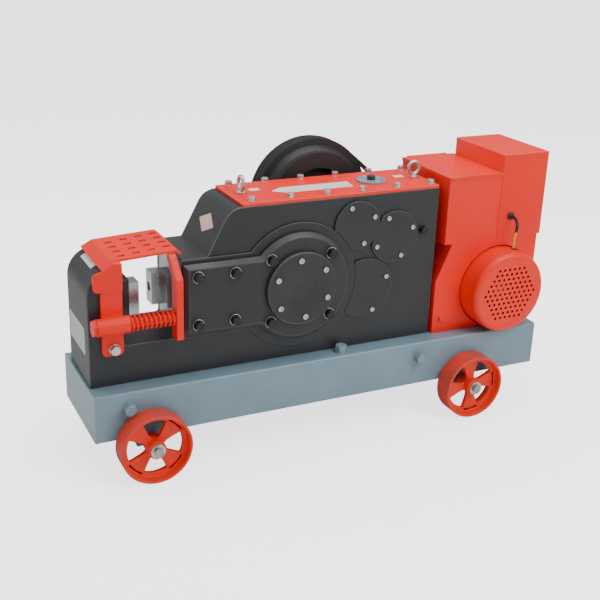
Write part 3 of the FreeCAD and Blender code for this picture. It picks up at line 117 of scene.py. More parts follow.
@dataclass(frozen=True)
class Finish:
    """A surface finish: two close colours mottled together, with a fine relief.

    The mark colour shows where a mesh carries its per-vertex mark: on the rounded edges of the enamel plates
    it is a painted highlight, lighter paint where light catches the edge; on the wheel treads it is real
    wear.
    Lengths are in millimetres.
    """

    name: str
    colour: str
    mottle_colour: str
    mottle_mm: float
    relief_mm: float
    relief_depth_mm: float
    roughness: tuple[float, float]
    metallic: float = 0.0
    ior: float = 1.5
    coat: float = 0.0
    wear_and_highlight_colour: str = ""
    wear_and_highlight_roughness: float = 0.6
    stretch: tuple[float, float, float] = (1.0, 1.0, 1.0)

    def material(self) -> bpy.types.Material:
        """Return the material, made the first time that it is asked for."""
        made = bpy.data.materials.get(self.name)
        return made if made else self._build()

    def _build(self) -> bpy.types.Material:
        """Build the node tree: object coordinates, mottle, relief, wear and the shader.

        Returns:
            The new material.
        """
        made = bpy.data.materials.new(self.name)
        made.use_nodes = True
        tree = made.node_tree
        tree.nodes.clear()
        place = add_node(tree, "ShaderNodeTexCoord", {}, {})
        turned = add_node(
            tree, "ShaderNodeMapping", {"Scale": self.stretch}, {"Vector": place.outputs["Object"]}
        )
        patches = add_node(
            tree, "ShaderNodeTexNoise",
            {"Scale": 1000 / self.mottle_mm, "Detail": 4.0, "Roughness": 0.55},
            {"Vector": turned.outputs["Vector"]},
        )
        relief = add_node(
            tree, "ShaderNodeTexNoise",
            {"Scale": 1000 / self.relief_mm, "Detail": 3.0, "Roughness": 0.5},
            {"Vector": turned.outputs["Vector"]},
        )
        spread = add_node(
            tree, "ShaderNodeMapRange", {"From Min": 0.3, "From Max": 0.7}, {"Value": patches.outputs["Fac"]}
        )
        paint = add_node(
            tree, "ShaderNodeMix",
            {"data_type": "RGBA", 6: linear(self.colour), 7: linear(self.mottle_colour)},
            {0: spread.outputs["Result"]},
        )
        gloss = add_node(
            tree, "ShaderNodeMapRange", {"To Min": self.roughness[0], "To Max": self.roughness[1]},
            {"Value": relief.outputs["Fac"]},
        )
        colour_out, gloss_out = paint.outputs[2], gloss.outputs["Result"]
        # Mix in the mark colour and gloss where the mesh is marked: a painted highlight on rounded enamel
        # edges, real rubbed metal on the wheel treads.
        if self.wear_and_highlight_colour:
            mark = add_node(tree, "ShaderNodeAttribute", {"attribute_name": "wear_and_highlight"}, {})
            broken = add_node(
                tree, "ShaderNodeMath", {"operation": "MULTIPLY_ADD", 1: 1.6, 2: -0.45},
                {0: patches.outputs["Fac"]},
            )
            amount = add_node(
                tree, "ShaderNodeMath", {"operation": "MULTIPLY", "use_clamp": True},
                {0: mark.outputs["Fac"], 1: broken.outputs[0]},
            )
            wear_and_highlight = add_node(
                tree, "ShaderNodeMix", {"data_type": "RGBA", 7: linear(self.wear_and_highlight_colour)},
                {0: amount.outputs[0], 6: colour_out},
            )
            wear_and_highlight_gloss = add_node(
                tree, "ShaderNodeMix", {"data_type": "FLOAT", 3: self.wear_and_highlight_roughness},
                {0: amount.outputs[0], 2: gloss_out},
            )
            colour_out, gloss_out = wear_and_highlight.outputs[2], wear_and_highlight_gloss.outputs[0]
        bump = add_node(
            tree, "ShaderNodeBump", {"Strength": 0.8, "Distance": self.relief_depth_mm / 1000},
            {"Height": relief.outputs["Fac"]},
        )
        shader = add_node(
            tree, "ShaderNodeBsdfPrincipled",
            {"Metallic": self.metallic, "IOR": self.ior, "Coat Weight": self.coat, "Coat Roughness": 0.12},
            {"Base Color": colour_out, "Roughness": gloss_out, "Normal": bump.outputs["Normal"]},
        )
        add_node(tree, "ShaderNodeOutputMaterial", {}, {"Surface": shader.outputs["BSDF"]})
        return made


# Sprayed enamel levels into faint orange peel, so reflections are soft but the colour is even.
# Its lighter pink is a painted highlight on the rounded edges.
RED_ENAMEL = Finish("red_enamel", "F81C05", "EE1804", 160, 4.0, 0.05, (0.38, 0.5), ior=1.38,
                    wear_and_highlight_colour="FF7A5C", wear_and_highlight_roughness=0.4)
# The same enamel on the pressed cowl, a little more orange and glossier.
# Its lighter pink is a painted highlight on the rounded edges.
COWL_ENAMEL = Finish("cowl_enamel", "F82608", "EE2006", 120, 4.0, 0.05, (0.32, 0.42), ior=1.42,
                     wear_and_highlight_colour="FF7A5C", wear_and_highlight_roughness=0.4)
# Paint over sand-cast iron: the grain of the mould shows, and the tread is rubbed to dull metal.
WHEEL_ENAMEL = Finish("wheel_enamel", "F0300F", "E2290C", 60, 3.0, 0.35, (0.42, 0.54), ior=1.4,
                      wear_and_highlight_colour="7B5A50", wear_and_highlight_roughness=0.7)
# Charcoal machinery enamel over ground castings: satin, with shallow waves.
# Its lighter grey is a painted highlight on the rounded edges.
BLACK_ENAMEL = Finish("charcoal_enamel", "2D2E30", "27282A", 190, 7.0, 0.16, (0.4, 0.52), ior=1.45,
                      wear_and_highlight_colour="6A6C6E", wear_and_highlight_roughness=0.45)
# Blue-grey enamel on rolled channel: mill scale under it gives a slight ripple.
# Its pale blue-grey is a painted highlight on the rounded edges.
BASE_ENAMEL = Finish("blue_grey_enamel", "7892A0", "6D8794", 150, 6.0, 0.12, (0.32, 0.44), coat=0.15,
                     wear_and_highlight_colour="AFC0C8", wear_and_highlight_roughness=0.45)
# Bright zinc plate: pale metal with a fine crystalline haze.
ZINC_PLATE = Finish("zinc_plate", "D2D2CC", "B9BAB6", 9, 1.2, 0.02, (0.26, 0.42), metallic=1.0)
# Black-oxide steel: dark, oily metal.
BLACK_OXIDE = Finish("black_oxide", "2B2B2D", "38383A", 8, 1.2, 0.03, (0.34, 0.5), metallic=0.7)
# Turned and ground steel, oiled: tight streaks along the lay of the cut.
TURNED_STEEL = Finish("turned_steel", "A9AAAA", "8C8D8F", 30, 1.0, 0.02, (0.24, 0.4), metallic=1.0,
                      stretch=(1.0, 0.15, 1.0))
# Surface-ground tool steel: brighter, with the grinder's lines across the blade.
GROUND_TOOL_STEEL = Finish("ground_tool_steel", "B4B6B8", "9A9C9F", 20, 0.9, 0.03, (0.2, 0.36),
                           metallic=1.0, stretch=(1.0, 1.0, 0.12))
# Cut gear teeth in oil: mid-grey metal.
GEAR_STEEL = Finish("gear_steel", "7F8082", "6B6C6E", 25, 1.5, 0.04, (0.28, 0.46), metallic=1.0)
# Raw grey iron: dark with an open sandy skin.
RAW_IRON = Finish("raw_iron", "3C3D40", "2F3033", 22, 2.2, 0.25, (0.5, 0.68), metallic=0.35)
# Dark enamel on the finned motor body.
MOTOR_ENAMEL = Finish("motor_enamel", "3B3F43", "33363A", 80, 3.0, 0.12, (0.36, 0.5), coat=0.1)
# Fabric-faced rubber: nearly black and dull.
BELT_RUBBER = Finish("belt_rubber", "19191A", "242425", 12, 1.2, 0.12, (0.62, 0.8))
# Soft PVC sheath: smooth and slightly waxy.
CABLE_SHEATH = Finish("cable_sheath", "1D1E20", "26272A", 10, 1.0, 0.03, (0.4, 0.5))
# Yellow PVC core insulation.
CORE_INSULATION = Finish("core_insulation", "F4C81E", "E6B812", 10, 1.0, 0.02, (0.34, 0.42))
# Moulded nylon fan: matt black with a light grain.
FAN_NYLON = Finish("fan_nylon", "232426", "1C1D1E", 20, 1.4, 0.05, (0.5, 0.62))
# Moulded push buttons: clean gloss plastic.
GREEN_PLASTIC = Finish("green_plastic", "1E8A3C", "1A7E36", 12, 1.0, 0.01, (0.22, 0.28))
RED_PLASTIC = Finish("red_plastic", "C4161C", "B51218", 12, 1.0, 0.01, (0.22, 0.28))
# Printed film left blank: white polyester and a pale pink warning ground.
WHITE_FILM = Finish("white_film", "E9E7E2", "DFDDD8", 30, 3.0, 0.02, (0.3, 0.4))
PINK_FILM = Finish("pink_film", "EBC7BE", "E2B9AF", 30, 3.0, 0.02, (0.3, 0.4))
# Blank etched nameplate: soft aluminium.
PLATE_ALUMINIUM = Finish("plate_aluminium", "B9BCC0", "A7ABB0", 14, 1.0, 0.02, (0.36, 0.48), metallic=0.8)
STUDIO_FLOOR = Finish("studio_floor", "F3F3F2", "F0F0EF", 900, 40.0, 0.01, (0.6, 0.7))


# ---------------------------------------------------------------- surfaces
class Facing(Enum):
    """Directions (u, v, n) of the three axes in which a flat piece is drawn.

    SLOPE lies on the housing's sloping wall, which climbs to the right at 62.3 degrees.
    """

    FRONT = ((1, 0, 0), (0, 0, 1), (0, -1, 0))
    BACK = ((-1, 0, 0), (0, 0, 1), (0, 1, 0))
    UP = ((1, 0, 0), (0, 1, 0), (0, 0, 1))
    RIGHT = ((0, 1, 0), (0, 0, 1), (1, 0, 0))
    LEFT = ((0, -1, 0), (0, 0, 1), (-1, 0, 0))
    SLOPE = ((0, -1, 0), (0.4652, 0, 0.8852), (-0.8852, 0, 0.4652))

    def place(self, points: Points, origin: tuple[float, float, float]) -> Points:
        """Carry points from (u, v, n) to the machine's frame.

        Args:
            points: array whose last axis holds u, v and n.
            origin: where u = v = n = 0 lies in the machine's frame.

        Returns:
            The same array in machine millimetres.
        """
        return points @ np.array(self.value, float) + np.array(origin, float)


@dataclass
class Surface:
    """Vertices in machine millimetres, their faces, and each vertex's mark for wear and for painted edge
    highlight.
    """

    vertices: Points
    faces: list[list[int]]
    wear_and_highlight: Points

    @staticmethod
    def joined(parts: list[Surface]) -> Surface:
        """Return one surface that holds all the given ones.

        Args:
            parts: surfaces to put together.

        Returns:
            The joined surface.
        """
        starts = np.cumsum([0] + [len(part.vertices) for part in parts])
        faces = [
            [index + int(start) for index in face]
            for part, start in zip(parts, starts)
            for face in part.faces
        ]
        return Surface(
            np.concatenate([part.vertices for part in parts]), faces,
            np.concatenate([part.wear_and_highlight for part in parts]),
        )


def loft(rings: Points, wear_and_highlight: Points | None = None, closed: bool = False) -> Surface:
    """Skin a stack of closed rings with quads, and cap or join its two ends.

    Args:
        rings: array (rows, columns, 3); each row runs anticlockwise seen from the later rows.
        wear_and_highlight: each row's mark from 0 to 1, for wear and for painted edge highlight, or None for
            no mark.
        closed: joins the last row to the first in place of capping both.

    Returns:
        A closed surface.
    """
    rows, columns = rings.shape[:2]
    index = np.arange(rows * columns).reshape(rows, columns)
    along = np.roll(index, -1, axis=1)
    low, high = (index, np.roll(index, -1, axis=0)) if closed else (index[:-1], index[1:])
    along_low, along_high = (along, np.roll(along, -1, axis=0)) if closed else (along[:-1], along[1:])
    faces = np.stack([low, along_low, along_high, high], axis=-1).reshape(-1, 4).tolist()
    if not closed:
        faces.append(index[0][::-1].tolist())
        faces.append(index[-1].tolist())
    marks = np.zeros(rows) if wear_and_highlight is None else np.asarray(wear_and_highlight, float)
    return Surface(rings.reshape(-1, 3), faces, np.repeat(marks, columns))


def rounded_outline(corners: list[tuple[float, ...]], steps: int = 7) -> Points:
    """Closed outline whose corners (u, v, radius) are replaced by arcs.

    Each arc is tangent to both sides; its points are centre + radius * (cos a, sin a).

    Args:
        corners: anticlockwise corners, as (u, v) or (u, v, radius).
        steps: spans in each arc.

    Returns:
        Array (points, 2).
    """
    points = np.array([corner[:2] for corner in corners], float)
    pieces = []
    for number, corner in enumerate(corners):
        radius = corner[2] if len(corner) > 2 else 0.0
        if radius == 0.0:
            pieces.append(points[number][None])
            continue
        before = points[number - 1] - points[number]
        after = points[(number + 1) % len(corners)] - points[number]
        before, after = before / np.linalg.norm(before), after / np.linalg.norm(after)
        half = math.acos(float(np.clip(before @ after, -1, 1))) / 2
        bisector = (before + after) / np.linalg.norm(before + after)
        centre = points[number] + bisector * radius / math.sin(half)
        start = points[number] + before * radius / math.tan(half) - centre
        end = points[number] + after * radius / math.tan(half) - centre
        first = math.atan2(start[1], start[0])
        turn = (math.atan2(end[1], end[0]) - first + math.pi) % (2 * math.pi) - math.pi
        angles = first + turn * np.linspace(0, 1, steps + 1)
        pieces.append(centre + radius * np.stack([np.cos(angles), np.sin(angles)], axis=1))
    return np.concatenate(pieces)


def inset(outline: Points, distance: float) -> Points:
    """Move every side of a closed anticlockwise outline inwards by a distance.

    A corner moves along the sum of its two inward normals, divided by 1 + their dot product.

    Args:
        outline: anticlockwise outline.
        distance: how far each side moves.

    Returns:
        The moved outline.
    """
    ahead = np.roll(outline, -1, axis=0) - outline
    ahead /= np.maximum(np.linalg.norm(ahead, axis=1, keepdims=True), 1e-9)
    inward = np.stack([-ahead[:, 1], ahead[:, 0]], axis=1)
    previous = np.roll(inward, 1, axis=0)
    dot = np.sum(inward * previous, axis=1, keepdims=True)
    return outline + distance * (inward + previous) / np.maximum(1 + dot, 0.25)


def profile_plate(
    outline: Points, profile: list[tuple[float, float, float]], facing: Facing,
    origin: tuple[float, float, float],
) -> Surface:
    """Carry a profile round an outline: row k is the outline inset by d_k at height n_k.

    Args:
        outline: anticlockwise outline in (u, v).
        profile: (inset, height, mark) of each row, from the back cap to the front cap; the mark paints a
            highlight on rounded rims.
        facing: the directions of u, v and n.
        origin: where u = v = n = 0 lies.

    Returns:
        A closed surface.
    """
    rings = []
    for distance, height, _ in profile:
        ring = inset(outline, distance)
        rings.append(np.column_stack([ring, np.full(len(ring), height)]))
    return loft(facing.place(np.array(rings), origin), np.array([row[2] for row in profile]))


def eased(
    low: float, high: float, radius: float, back_radius: float = 0.0
) -> list[tuple[float, float, float]]:
    """Profile of a plate from n = low to n = high with rounded rims.

    The rounding is a quarter circle, and a row just inside it keeps the flat face flat.

    Args:
        low: height of the back face.
        high: height of the front face.
        radius: rounding at the front.
        back_radius: rounding at the back, or 0 for a square edge.

    Returns:
        (inset, height, mark) rows; the mark paints a highlight on the rounded rims.
    """
    rows = []
    if back_radius:
        rows.append((back_radius + 0.4, low, 0.0))
        for angle in np.linspace(0, math.pi / 2, 4):
            rows.append((back_radius * (1 - math.sin(angle)), low + back_radius * (1 - math.cos(angle)), 0.6))
    else:
        rows.append((0.0, low, 0.0))
        rows.append((0.0, low + 0.01, 0.0))
    rows.append((0.0, low + back_radius + 0.5, 0.0))
    rows.append((0.0, high - radius - 0.5, 0.0))
    for angle in np.linspace(0, math.pi / 2, 5):
        rows.append((radius * (1 - math.cos(angle)), high - radius * (1 - math.sin(angle)), 1.0))
    rows.append((radius + 0.5, high, 0.0))
    return rows


def circle(radius: float, columns: int = 64) -> Points:
    """Anticlockwise circle about (0, 0)."""
    angles = np.linspace(0, 2 * math.pi, columns, endpoint=False)
    return radius * np.stack([np.cos(angles), np.sin(angles)], axis=1)


def hexagon(across: float | Points, columns: int = 48) -> Points:
    """Hexagon as polar points: r = (across / 2) / cos(angle from the nearest flat's middle).

    Args:
        across: distance across the flats.
        columns: points round the hexagon.

    Returns:
        Array (columns, 2).
    """
    angles = np.linspace(0, 2 * math.pi, columns, endpoint=False)
    off_flat = (angles + math.pi / 6) % (math.pi / 3) - math.pi / 6
    reach = across / 2 / np.cos(off_flat)
    return np.stack([reach * np.cos(angles), reach * np.sin(angles)], axis=1)


def turned(
    profile: list[tuple[float, ...]], facing: Facing, origin: tuple[float, float, float],
    columns: int = 64, closed: bool = False,
) -> Surface:
    """Surface of revolution about n: row k is a circle of radius r_k at height n_k.

    Args:
        profile: (radius, height) or (radius, height, mark) rows from back to front; the mark is real wear on
            wheel treads and a painted highlight on rounded rims.
        facing: the directions of u, v and n.
        origin: a point of the axis where n = 0.
        columns: points in each circle.
        closed: the profile is a closed loop that misses the axis.

    Returns:
        A closed surface.
    """
    rows = [(row[0], row[1], row[2] if len(row) > 2 else 0.0) for row in profile]
    unit = circle(1.0, columns)
    rings = np.array([
        np.column_stack([unit * radius, np.full(columns, height)])
        for radius, height, _ in rows
    ])
    return loft(facing.place(rings, origin), np.array([row[2] for row in rows]), closed)


def swept(path: Points, radius: float | Points, columns: int = 12, closed: bool = False) -> Surface:
    """Round tube along a path: each ring lies in the plane across the local tangent.

    The first normal is any direction across the start, and each next one is the last, less its
    part along the tangent, so the tube doesn't twist.

    Args:
        path: array (points, 3) in machine millimetres.
        radius: one radius or one for each point.
        columns: points in each ring.
        closed: the path is a loop.

    Returns:
        A closed surface.
    """
    ahead = np.roll(path, -1, axis=0) - np.roll(path, 1, axis=0) if closed else np.gradient(path, axis=0)
    ahead /= np.linalg.norm(ahead, axis=1, keepdims=True)
    normal = np.cross(ahead[0], [0.0, 0.3, 1.0])
    normals = []
    for tangent in ahead:
        normal = normal - tangent * (normal @ tangent)
        normal = normal / np.linalg.norm(normal)
        normals.append(normal)
    side = np.array(normals)
    up = np.cross(ahead, side)
    ring = circle(1.0, columns)
    reach = np.broadcast_to(np.asarray(radius, float), len(path))[:, None, None]
    rings = path[:, None] + reach * (ring[None, :, :1] * side[:, None] + ring[None, :, 1:] * up[:, None])
    return loft(rings, closed=closed)


def block(
    x: tuple[float, float], y: tuple[float, float], z: tuple[float, float], rounding: float = 1.2
) -> Surface:
    """Block between limits with eased edges, drawn from above.

    Args:
        x: limits along the machine.
        y: limits from front to back.
        z: limits from bottom to top.
        rounding: radius of the eased edges.

    Returns:
        The block.
    """
    bend = rounding + 0.6
    corners = [(x[0], y[0], bend), (x[1], y[0], bend), (x[1], y[1], bend), (x[0], y[1], bend)]
    return profile_plate(
        rounded_outline(corners, 4), eased(z[0], z[1], rounding, rounding), Facing.UP, (0, 0, 0),
    )


def hex_bolt(
    base: tuple[float, float, float], facing: Facing, across: float, washer: float = 3.0, turn: float = 0.0
) -> Surface:
    """Bolt head on a washer.

    The head is a hexagon whose upper corners are cut by a 30 degree cone: each row takes the
    smaller of the hexagon's reach and the cone's radius at its height.

    Args:
        base: middle of the washer's underside.
        facing: n points out of the surface.
        across: distance across the flats.
        washer: thickness of the washer.
        turn: angle of the head, in degrees.

    Returns:
        Washer and head.
    """
    rim = across * 0.62
    disc = turned(
        [(rim - 0.3, 0.0), (rim, 0.3), (rim, washer - 0.5), (rim - 0.5, washer), (rim - 0.9, washer)],
        facing, base, 40,
    )
    height = across * 0.64
    flat_top = across * 0.46
    angle = math.radians(turn)
    spin = np.array([[math.cos(angle), math.sin(angle)], [-math.sin(angle), math.cos(angle)]])
    six = hexagon(across)
    reach = np.linalg.norm(six, axis=1)
    rings = []
    for level in (0.0, height * 0.7, height * 0.82, height * 0.9, height * 0.96, height):
        cone = flat_top + (height - level) * math.sqrt(3.0)
        row = six * (np.minimum(reach, cone) / reach)[:, None]
        rings.append(np.column_stack([row @ spin, np.full(len(row), washer + level)]))
    middle = np.column_stack([rings[-1][:, :2] * 0.94, rings[-1][:, 2]])
    head = loft(facing.place(np.array(rings + [middle]), base))
    return Surface.joined([disc, head])


def socket_screw(base: tuple[float, float, float], facing: Facing, radius: float, height: float) -> Surface:
    """Round screw head with a hexagonal socket: rows pass from circles to a sunken hexagon.

    Args:
        base: middle of the head's underside.
        facing: n points out of the surface.
        radius: radius of the head.
        height: height of the head.

    Returns:
        A closed surface.
    """
    columns = 48
    socket = hexagon(radius, columns)
    rows = [(circle(radius, columns), 0.0), (circle(radius, columns), height - 0.8),
            (circle(radius - 0.25, columns), height - 0.25), (circle(radius - 0.8, columns), height),
            (socket * 1.1, height), (socket, height - 0.4), (socket, height * 0.4)]
    rings = np.array([np.column_stack([ring, np.full(columns, level)]) for ring, level in rows])
    return loft(facing.place(rings, base))


# ---------------------------------------------------------------- the machine's frame
@dataclass
class Machine:
    nodes: dict
    datum: Vector

    @staticmethod
    def from_frame(frame: dict) -> Machine:
        """Take the datum from the lowest corner of the base's crossmembers.


        Returns:
            The machine.
        """
        return Machine(frame["nodes"], Vector(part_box("base_crossmembers")[0]))

    def metres(self, points: Points) -> Points:
        """Turn machine millimetres into row metres."""
        return np.asarray(points, float) / 1000 + np.array(self.datum)

    def add(
        self, name: str, surface: Surface, body: str, finish: Finish, slot: str, *replaced: str
    ) -> bpy.types.Object:
        """Make an object from a surface, dress it and let it ride on a body.

        Args:
            name: the piece's name.
            surface: its shape in machine millimetres.
            body: the body that it moves with.
            finish: its material.
            slot: the record's material slot that it stands for; not used.
            replaced: CAD nodes that it takes the place of.

        Returns:
            The new object.
        """
        mesh = bpy.data.meshes.new(name)
        mesh.from_pydata(self.metres(surface.vertices), [], surface.faces)
        # Per-vertex mark: real wear on the wheel treads, a painted highlight on the rounded edges of enamel
        # plates.
        mark = mesh.attributes.new("wear_and_highlight", "FLOAT", "POINT")
        mark.data.foreach_set("value", np.asarray(surface.wear_and_highlight, np.float32))
        mesh.polygons.foreach_set("use_smooth", np.ones(len(mesh.polygons), bool))
        mesh.set_sharp_from_angle(angle=math.radians(35))
        mesh.update()
        made = bpy.data.objects.new(name, mesh)
        bpy.context.scene.collection.objects.link(made)
        mesh.materials.append(finish.material())
        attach(made, body)
        if replaced:
            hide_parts(*replaced)
        LOG.info("%s: %d faces on %s", name, len(mesh.polygons), body)
        return made

    def dress(self, finish: Finish, *names: str) -> None:
        """Give CAD nodes a finish in place of their plain colour.

        Args:
            finish: material for the nodes.
            names: the nodes.
        """
        for name in names:
            materials = self.nodes[name].data.materials
            materials.clear()
            materials.append(finish.material())
        LOG.info("%s on %s", finish.name, ", ".join(names))


# ---------------------------------------------------------------- base and wheels
@dataclass
class Base:
    """Folded side channels, end plate, crossmembers and their painted bolts."""

    length: float = 1400.0
    depth: float = 310.0
    height: float = 135.0
    wall: float = 8.0
    flange: float = 65.0
    member_xs: tuple[float, ...] = (260.0, 720.0, 1060.0)
    motor_plate_x: tuple[float, float] = (1110.0, 1380.0)
    web_bolts: tuple[tuple[float, float], ...] = ((92.0, 91.0), (978.0, 90.0))
    flange_bolt_x: float = 730.0
    flange_bolt_inset: float = 30.0
    bolt_flats: float = 30.0
    bolt_washer: float = 2.0

    def channel(self, mirrored: bool) -> Surface:
        """C section with rounded outer bends, drawn in the yz plane and carried along x.

        Args:
            mirrored: True for the rear channel, whose web faces back.

        Returns:
            The channel.
        """
        top = self.height - self.wall
        corners = [
            (0.0, 0.0, 7.0), (self.flange, 0.0, 2.0), (self.flange, self.wall, 2.0),
            (self.wall, self.wall, 4.0), (self.wall, top, 4.0), (self.flange, top, 2.0),
            (self.flange, self.height, 2.0), (0.0, self.height, 7.0),
        ]
        outline = rounded_outline(corners)
        if mirrored:
            outline = np.column_stack([self.depth - outline[::-1, 0], outline[::-1, 1]])
        return profile_plate(outline, eased(self.wall, self.length, 1.0), Facing.RIGHT, (0, 0, 0))

    def build(self, machine: Machine) -> None:
        """Add every piece of the base.

        Args:
            machine: takes the pieces and holds the CAD nodes.
        """
        machine.add(
            "channel_front", self.channel(False), "frame", BASE_ENAMEL, "base_paint", "base_front_channel",
        )
        machine.add(
            "channel_rear", self.channel(True), "frame", BASE_ENAMEL, "base_paint", "base_rear_channel",
        )
        end_outline = rounded_outline([
            (0.0, 0.0, 5.0), (self.depth, 0.0, 5.0), (self.depth, self.height, 5.0),
            (0.0, self.height, 5.0),
        ])
        end_plate = Facing.LEFT.place(np.zeros((1, 3)), (self.wall, self.depth, 0))[0]
        parts = [profile_plate(end_outline, eased(0.0, self.wall, 1.5), Facing.LEFT, tuple(end_plate))]
        inner_y = (self.wall, self.depth - self.wall)
        inner_z = (self.wall, self.height - self.wall)
        parts += [block((x, x + 10.0), inner_y, inner_z) for x in self.member_xs]
        parts.append(block(self.motor_plate_x, (self.flange, self.depth - self.flange),
                           (self.height - self.wall, self.height)))
        machine.add("end_and_crossmembers", Surface.joined(parts), "frame", BASE_ENAMEL, "base_paint",
                    "base_crossmembers")
        machine.add("frame_bolts", self.bolts(), "frame", BASE_ENAMEL, "base_paint", "base_bolts")
        machine.dress(BASE_ENAMEL, "axle_brackets")
        machine.dress(TURNED_STEEL, "axles")

    def bolts(self) -> Surface:
        """Return the painted bolts on the channels and on their top flanges.

        Returns:
            All the bolts as one surface.
        """
        parts = []
        for facing, y in ((Facing.FRONT, 0.0), (Facing.BACK, self.depth)):
            for x, z in self.web_bolts:
                parts.append(hex_bolt((x, y, z), facing, self.bolt_flats, self.bolt_washer, turn=12.0))
        for y in (self.flange_bolt_inset, self.depth - self.flange_bolt_inset):
            parts.append(
                hex_bolt(
                    (self.flange_bolt_x, y, self.height), Facing.UP, self.bolt_flats, self.bolt_washer,
                    turn=20.0,
                )
            )
        return Surface.joined(parts)


@dataclass
class CastWheels:
    """Four spoked cast wheels with washers and split pins."""

    radius: float = 98.0
    width: float = 60.0
    hub: float = 25.0
    bore: float = 12.6
    axle_z: float = -13.0
    gap: float = 8.0
    web: float = 14.0
    spread: float = 0.37
    base_depth: float = 310.0
    turns: dict[str, float] = field(default_factory=lambda: {"left": 45.0, "right": 5.0})
    xs: dict[str, float] = field(default_factory=lambda: {"left": 147.0, "right": 1144.0})

    def rim(self, centre: tuple[float, float, float]) -> Surface:
        """Rim: a T section with rounded lips, turned about the axle.

        Args:
            centre: middle of the wheel.

        Returns:
            The rim.
        """
        half, inner = self.width / 2, self.radius - 9.0
        section = rounded_outline([
            (self.radius, -half, 3.0), (self.radius, half, 3.0), (inner + 1.5, half, 2.5),
            (inner - 2.0, self.web / 2, 4.0), (inner - 13.0, self.web / 2, 3.0),
            (inner - 13.0, -self.web / 2, 3.0), (inner - 2.0, -self.web / 2, 4.0),
            (inner + 1.5, -half, 2.5),
        ], 5)
        crown = np.where(section[:, 0] > self.radius - 3.0, 1.0, 0.0)
        rows = [(radius, -height, wear_and_highlight) for (radius, height), wear_and_highlight in zip(section[::-1], crown[::-1])]
        return turned(rows[::-1], Facing.FRONT, centre, 96, closed=True)

    def hub_piece(self, centre: tuple[float, float, float]) -> Surface:
        """Hub: a rounded tube round the axle.

        Args:
            centre: middle of the wheel.

        Returns:
            The hub.
        """
        half = self.width / 2
        section = rounded_outline([(self.hub, -half, 3.0), (self.hub, half, 3.0), (self.bore, half, 1.0),
                                   (self.bore, -half, 1.0)], 4)
        return turned([tuple(row) for row in section], Facing.FRONT, centre, 64, closed=True)

    def spoke(self, centre: tuple[float, float, float], degrees: float) -> Surface:
        """Flat spoke: half width = spread * radius, plus 5 * exp(-distance / 7) at both ends.

        Args:
            centre: middle of the wheel.
            degrees: direction of the spoke.

        Returns:
            The spoke.
        """
        start, end = self.hub - 3.0, self.radius - 16.0
        reach = np.linspace(start, end, 22)
        half_width = self.spread * reach + 5.0 * (np.exp((start - reach) / 7.0) + np.exp((reach - end) / 7.0))
        section = rounded_outline([
            (-1.0, -1.0, 0.25), (1.0, -1.0, 0.25), (1.0, 1.0, 0.25), (-1.0, 1.0, 0.25),
        ], 4)
        rings = np.empty((len(reach), len(section), 3))
        rings[:, :, 0] = reach[:, None]
        rings[:, :, 1] = section[None, :, 0] * half_width[:, None]
        rings[:, :, 2] = section[None, :, 1] * self.web / 2
        angle = math.radians(degrees)
        spin = np.array([
            [math.cos(angle), math.sin(angle), 0], [-math.sin(angle), math.cos(angle), 0], [0, 0, 1],
        ])
        return loft(Facing.FRONT.place(rings @ spin, centre))

    def wheel(self, side: str, y: float) -> Surface:
        """Return one wheel whose middle plane is at y.

        Args:
            side: left or right.
            y: middle plane of the wheel.

        Returns:
            The wheel.
        """
        centre = (self.xs[side], y, self.axle_z)
        spokes = [self.spoke(centre, self.turns[side] + 90.0 * k) for k in range(4)]
        return Surface.joined([self.rim(centre), self.hub_piece(centre)] + spokes)

    def retainers(self) -> Surface:
        """Return the washers and the split pins that hold the wheels on their axles.

        Returns:
            All of them as one surface.
        """
        parts = []
        outside = self.gap + self.width
        for x in self.xs.values():
            for facing, y in ((Facing.FRONT, -outside), (Facing.BACK, self.base_depth + outside)):
                base = (x, y, self.axle_z)
                parts.append(turned([(12.5, 0.5), (20.0, 0.5), (20.0, 3.6), (19.6, 4.0), (12.5, 4.0)],
                                    facing, base, 48, closed=True))
                out = -1.0 if facing is Facing.FRONT else 1.0
                parts += self.split_pin(x, y + out * 8.0)
            for facing, y in ((Facing.BACK, -self.gap), (Facing.FRONT, self.base_depth + self.gap)):
                parts.append(turned([(12.5, 0.5), (18.0, 0.5), (18.0, 7.5), (12.5, 7.5)],
                                    facing, (x, y, self.axle_z), 48, closed=True))
        return Surface.joined(parts)

    def split_pin(self, x: float, y: float) -> list[Surface]:
        """Split pin: a loop above the axle and two bent legs below it.

        Args:
            x: place along the machine.
            y: place from the front.

        Returns:
            The loop and the two legs.
        """
        angles = np.linspace(-0.35 * math.pi, 1.35 * math.pi, 24)
        loop = np.column_stack([
            x + 3.4 * np.cos(angles), np.full(24, y), self.axle_z + 18.0 + 3.4 * np.sin(angles),
        ])
        pieces = [swept(loop, 1.3, 10)]
        for side in (-1.0, 1.0):
            drop = np.linspace(0.0, 1.0, 12)
            leg = np.column_stack([
                x + side * (1.1 + 6.0 * drop**3), np.full(12, y), self.axle_z + 16.0 - 37.0 * drop,
            ])
            pieces.append(swept(leg, 1.2, 10))
        return pieces

    def build(self, machine: Machine) -> None:
        """Add the four wheels and their retainers.

        Args:
            machine: takes the pieces and holds the CAD nodes.
        """
        middle = self.gap + self.width / 2
        for row, y in (("front", -middle), ("rear", self.base_depth + middle)):
            for side in self.xs:
                node = f"wheel_{row}_{side}"
                machine.add(f"cast_{node}", self.wheel(side, y), node, WHEEL_ENAMEL, "wheel_paint", node)
        machine.add(
            "washers_and_split_pins", self.retainers(), "frame", ZINC_PLATE, "zinc", "wheel_retainers",
        )


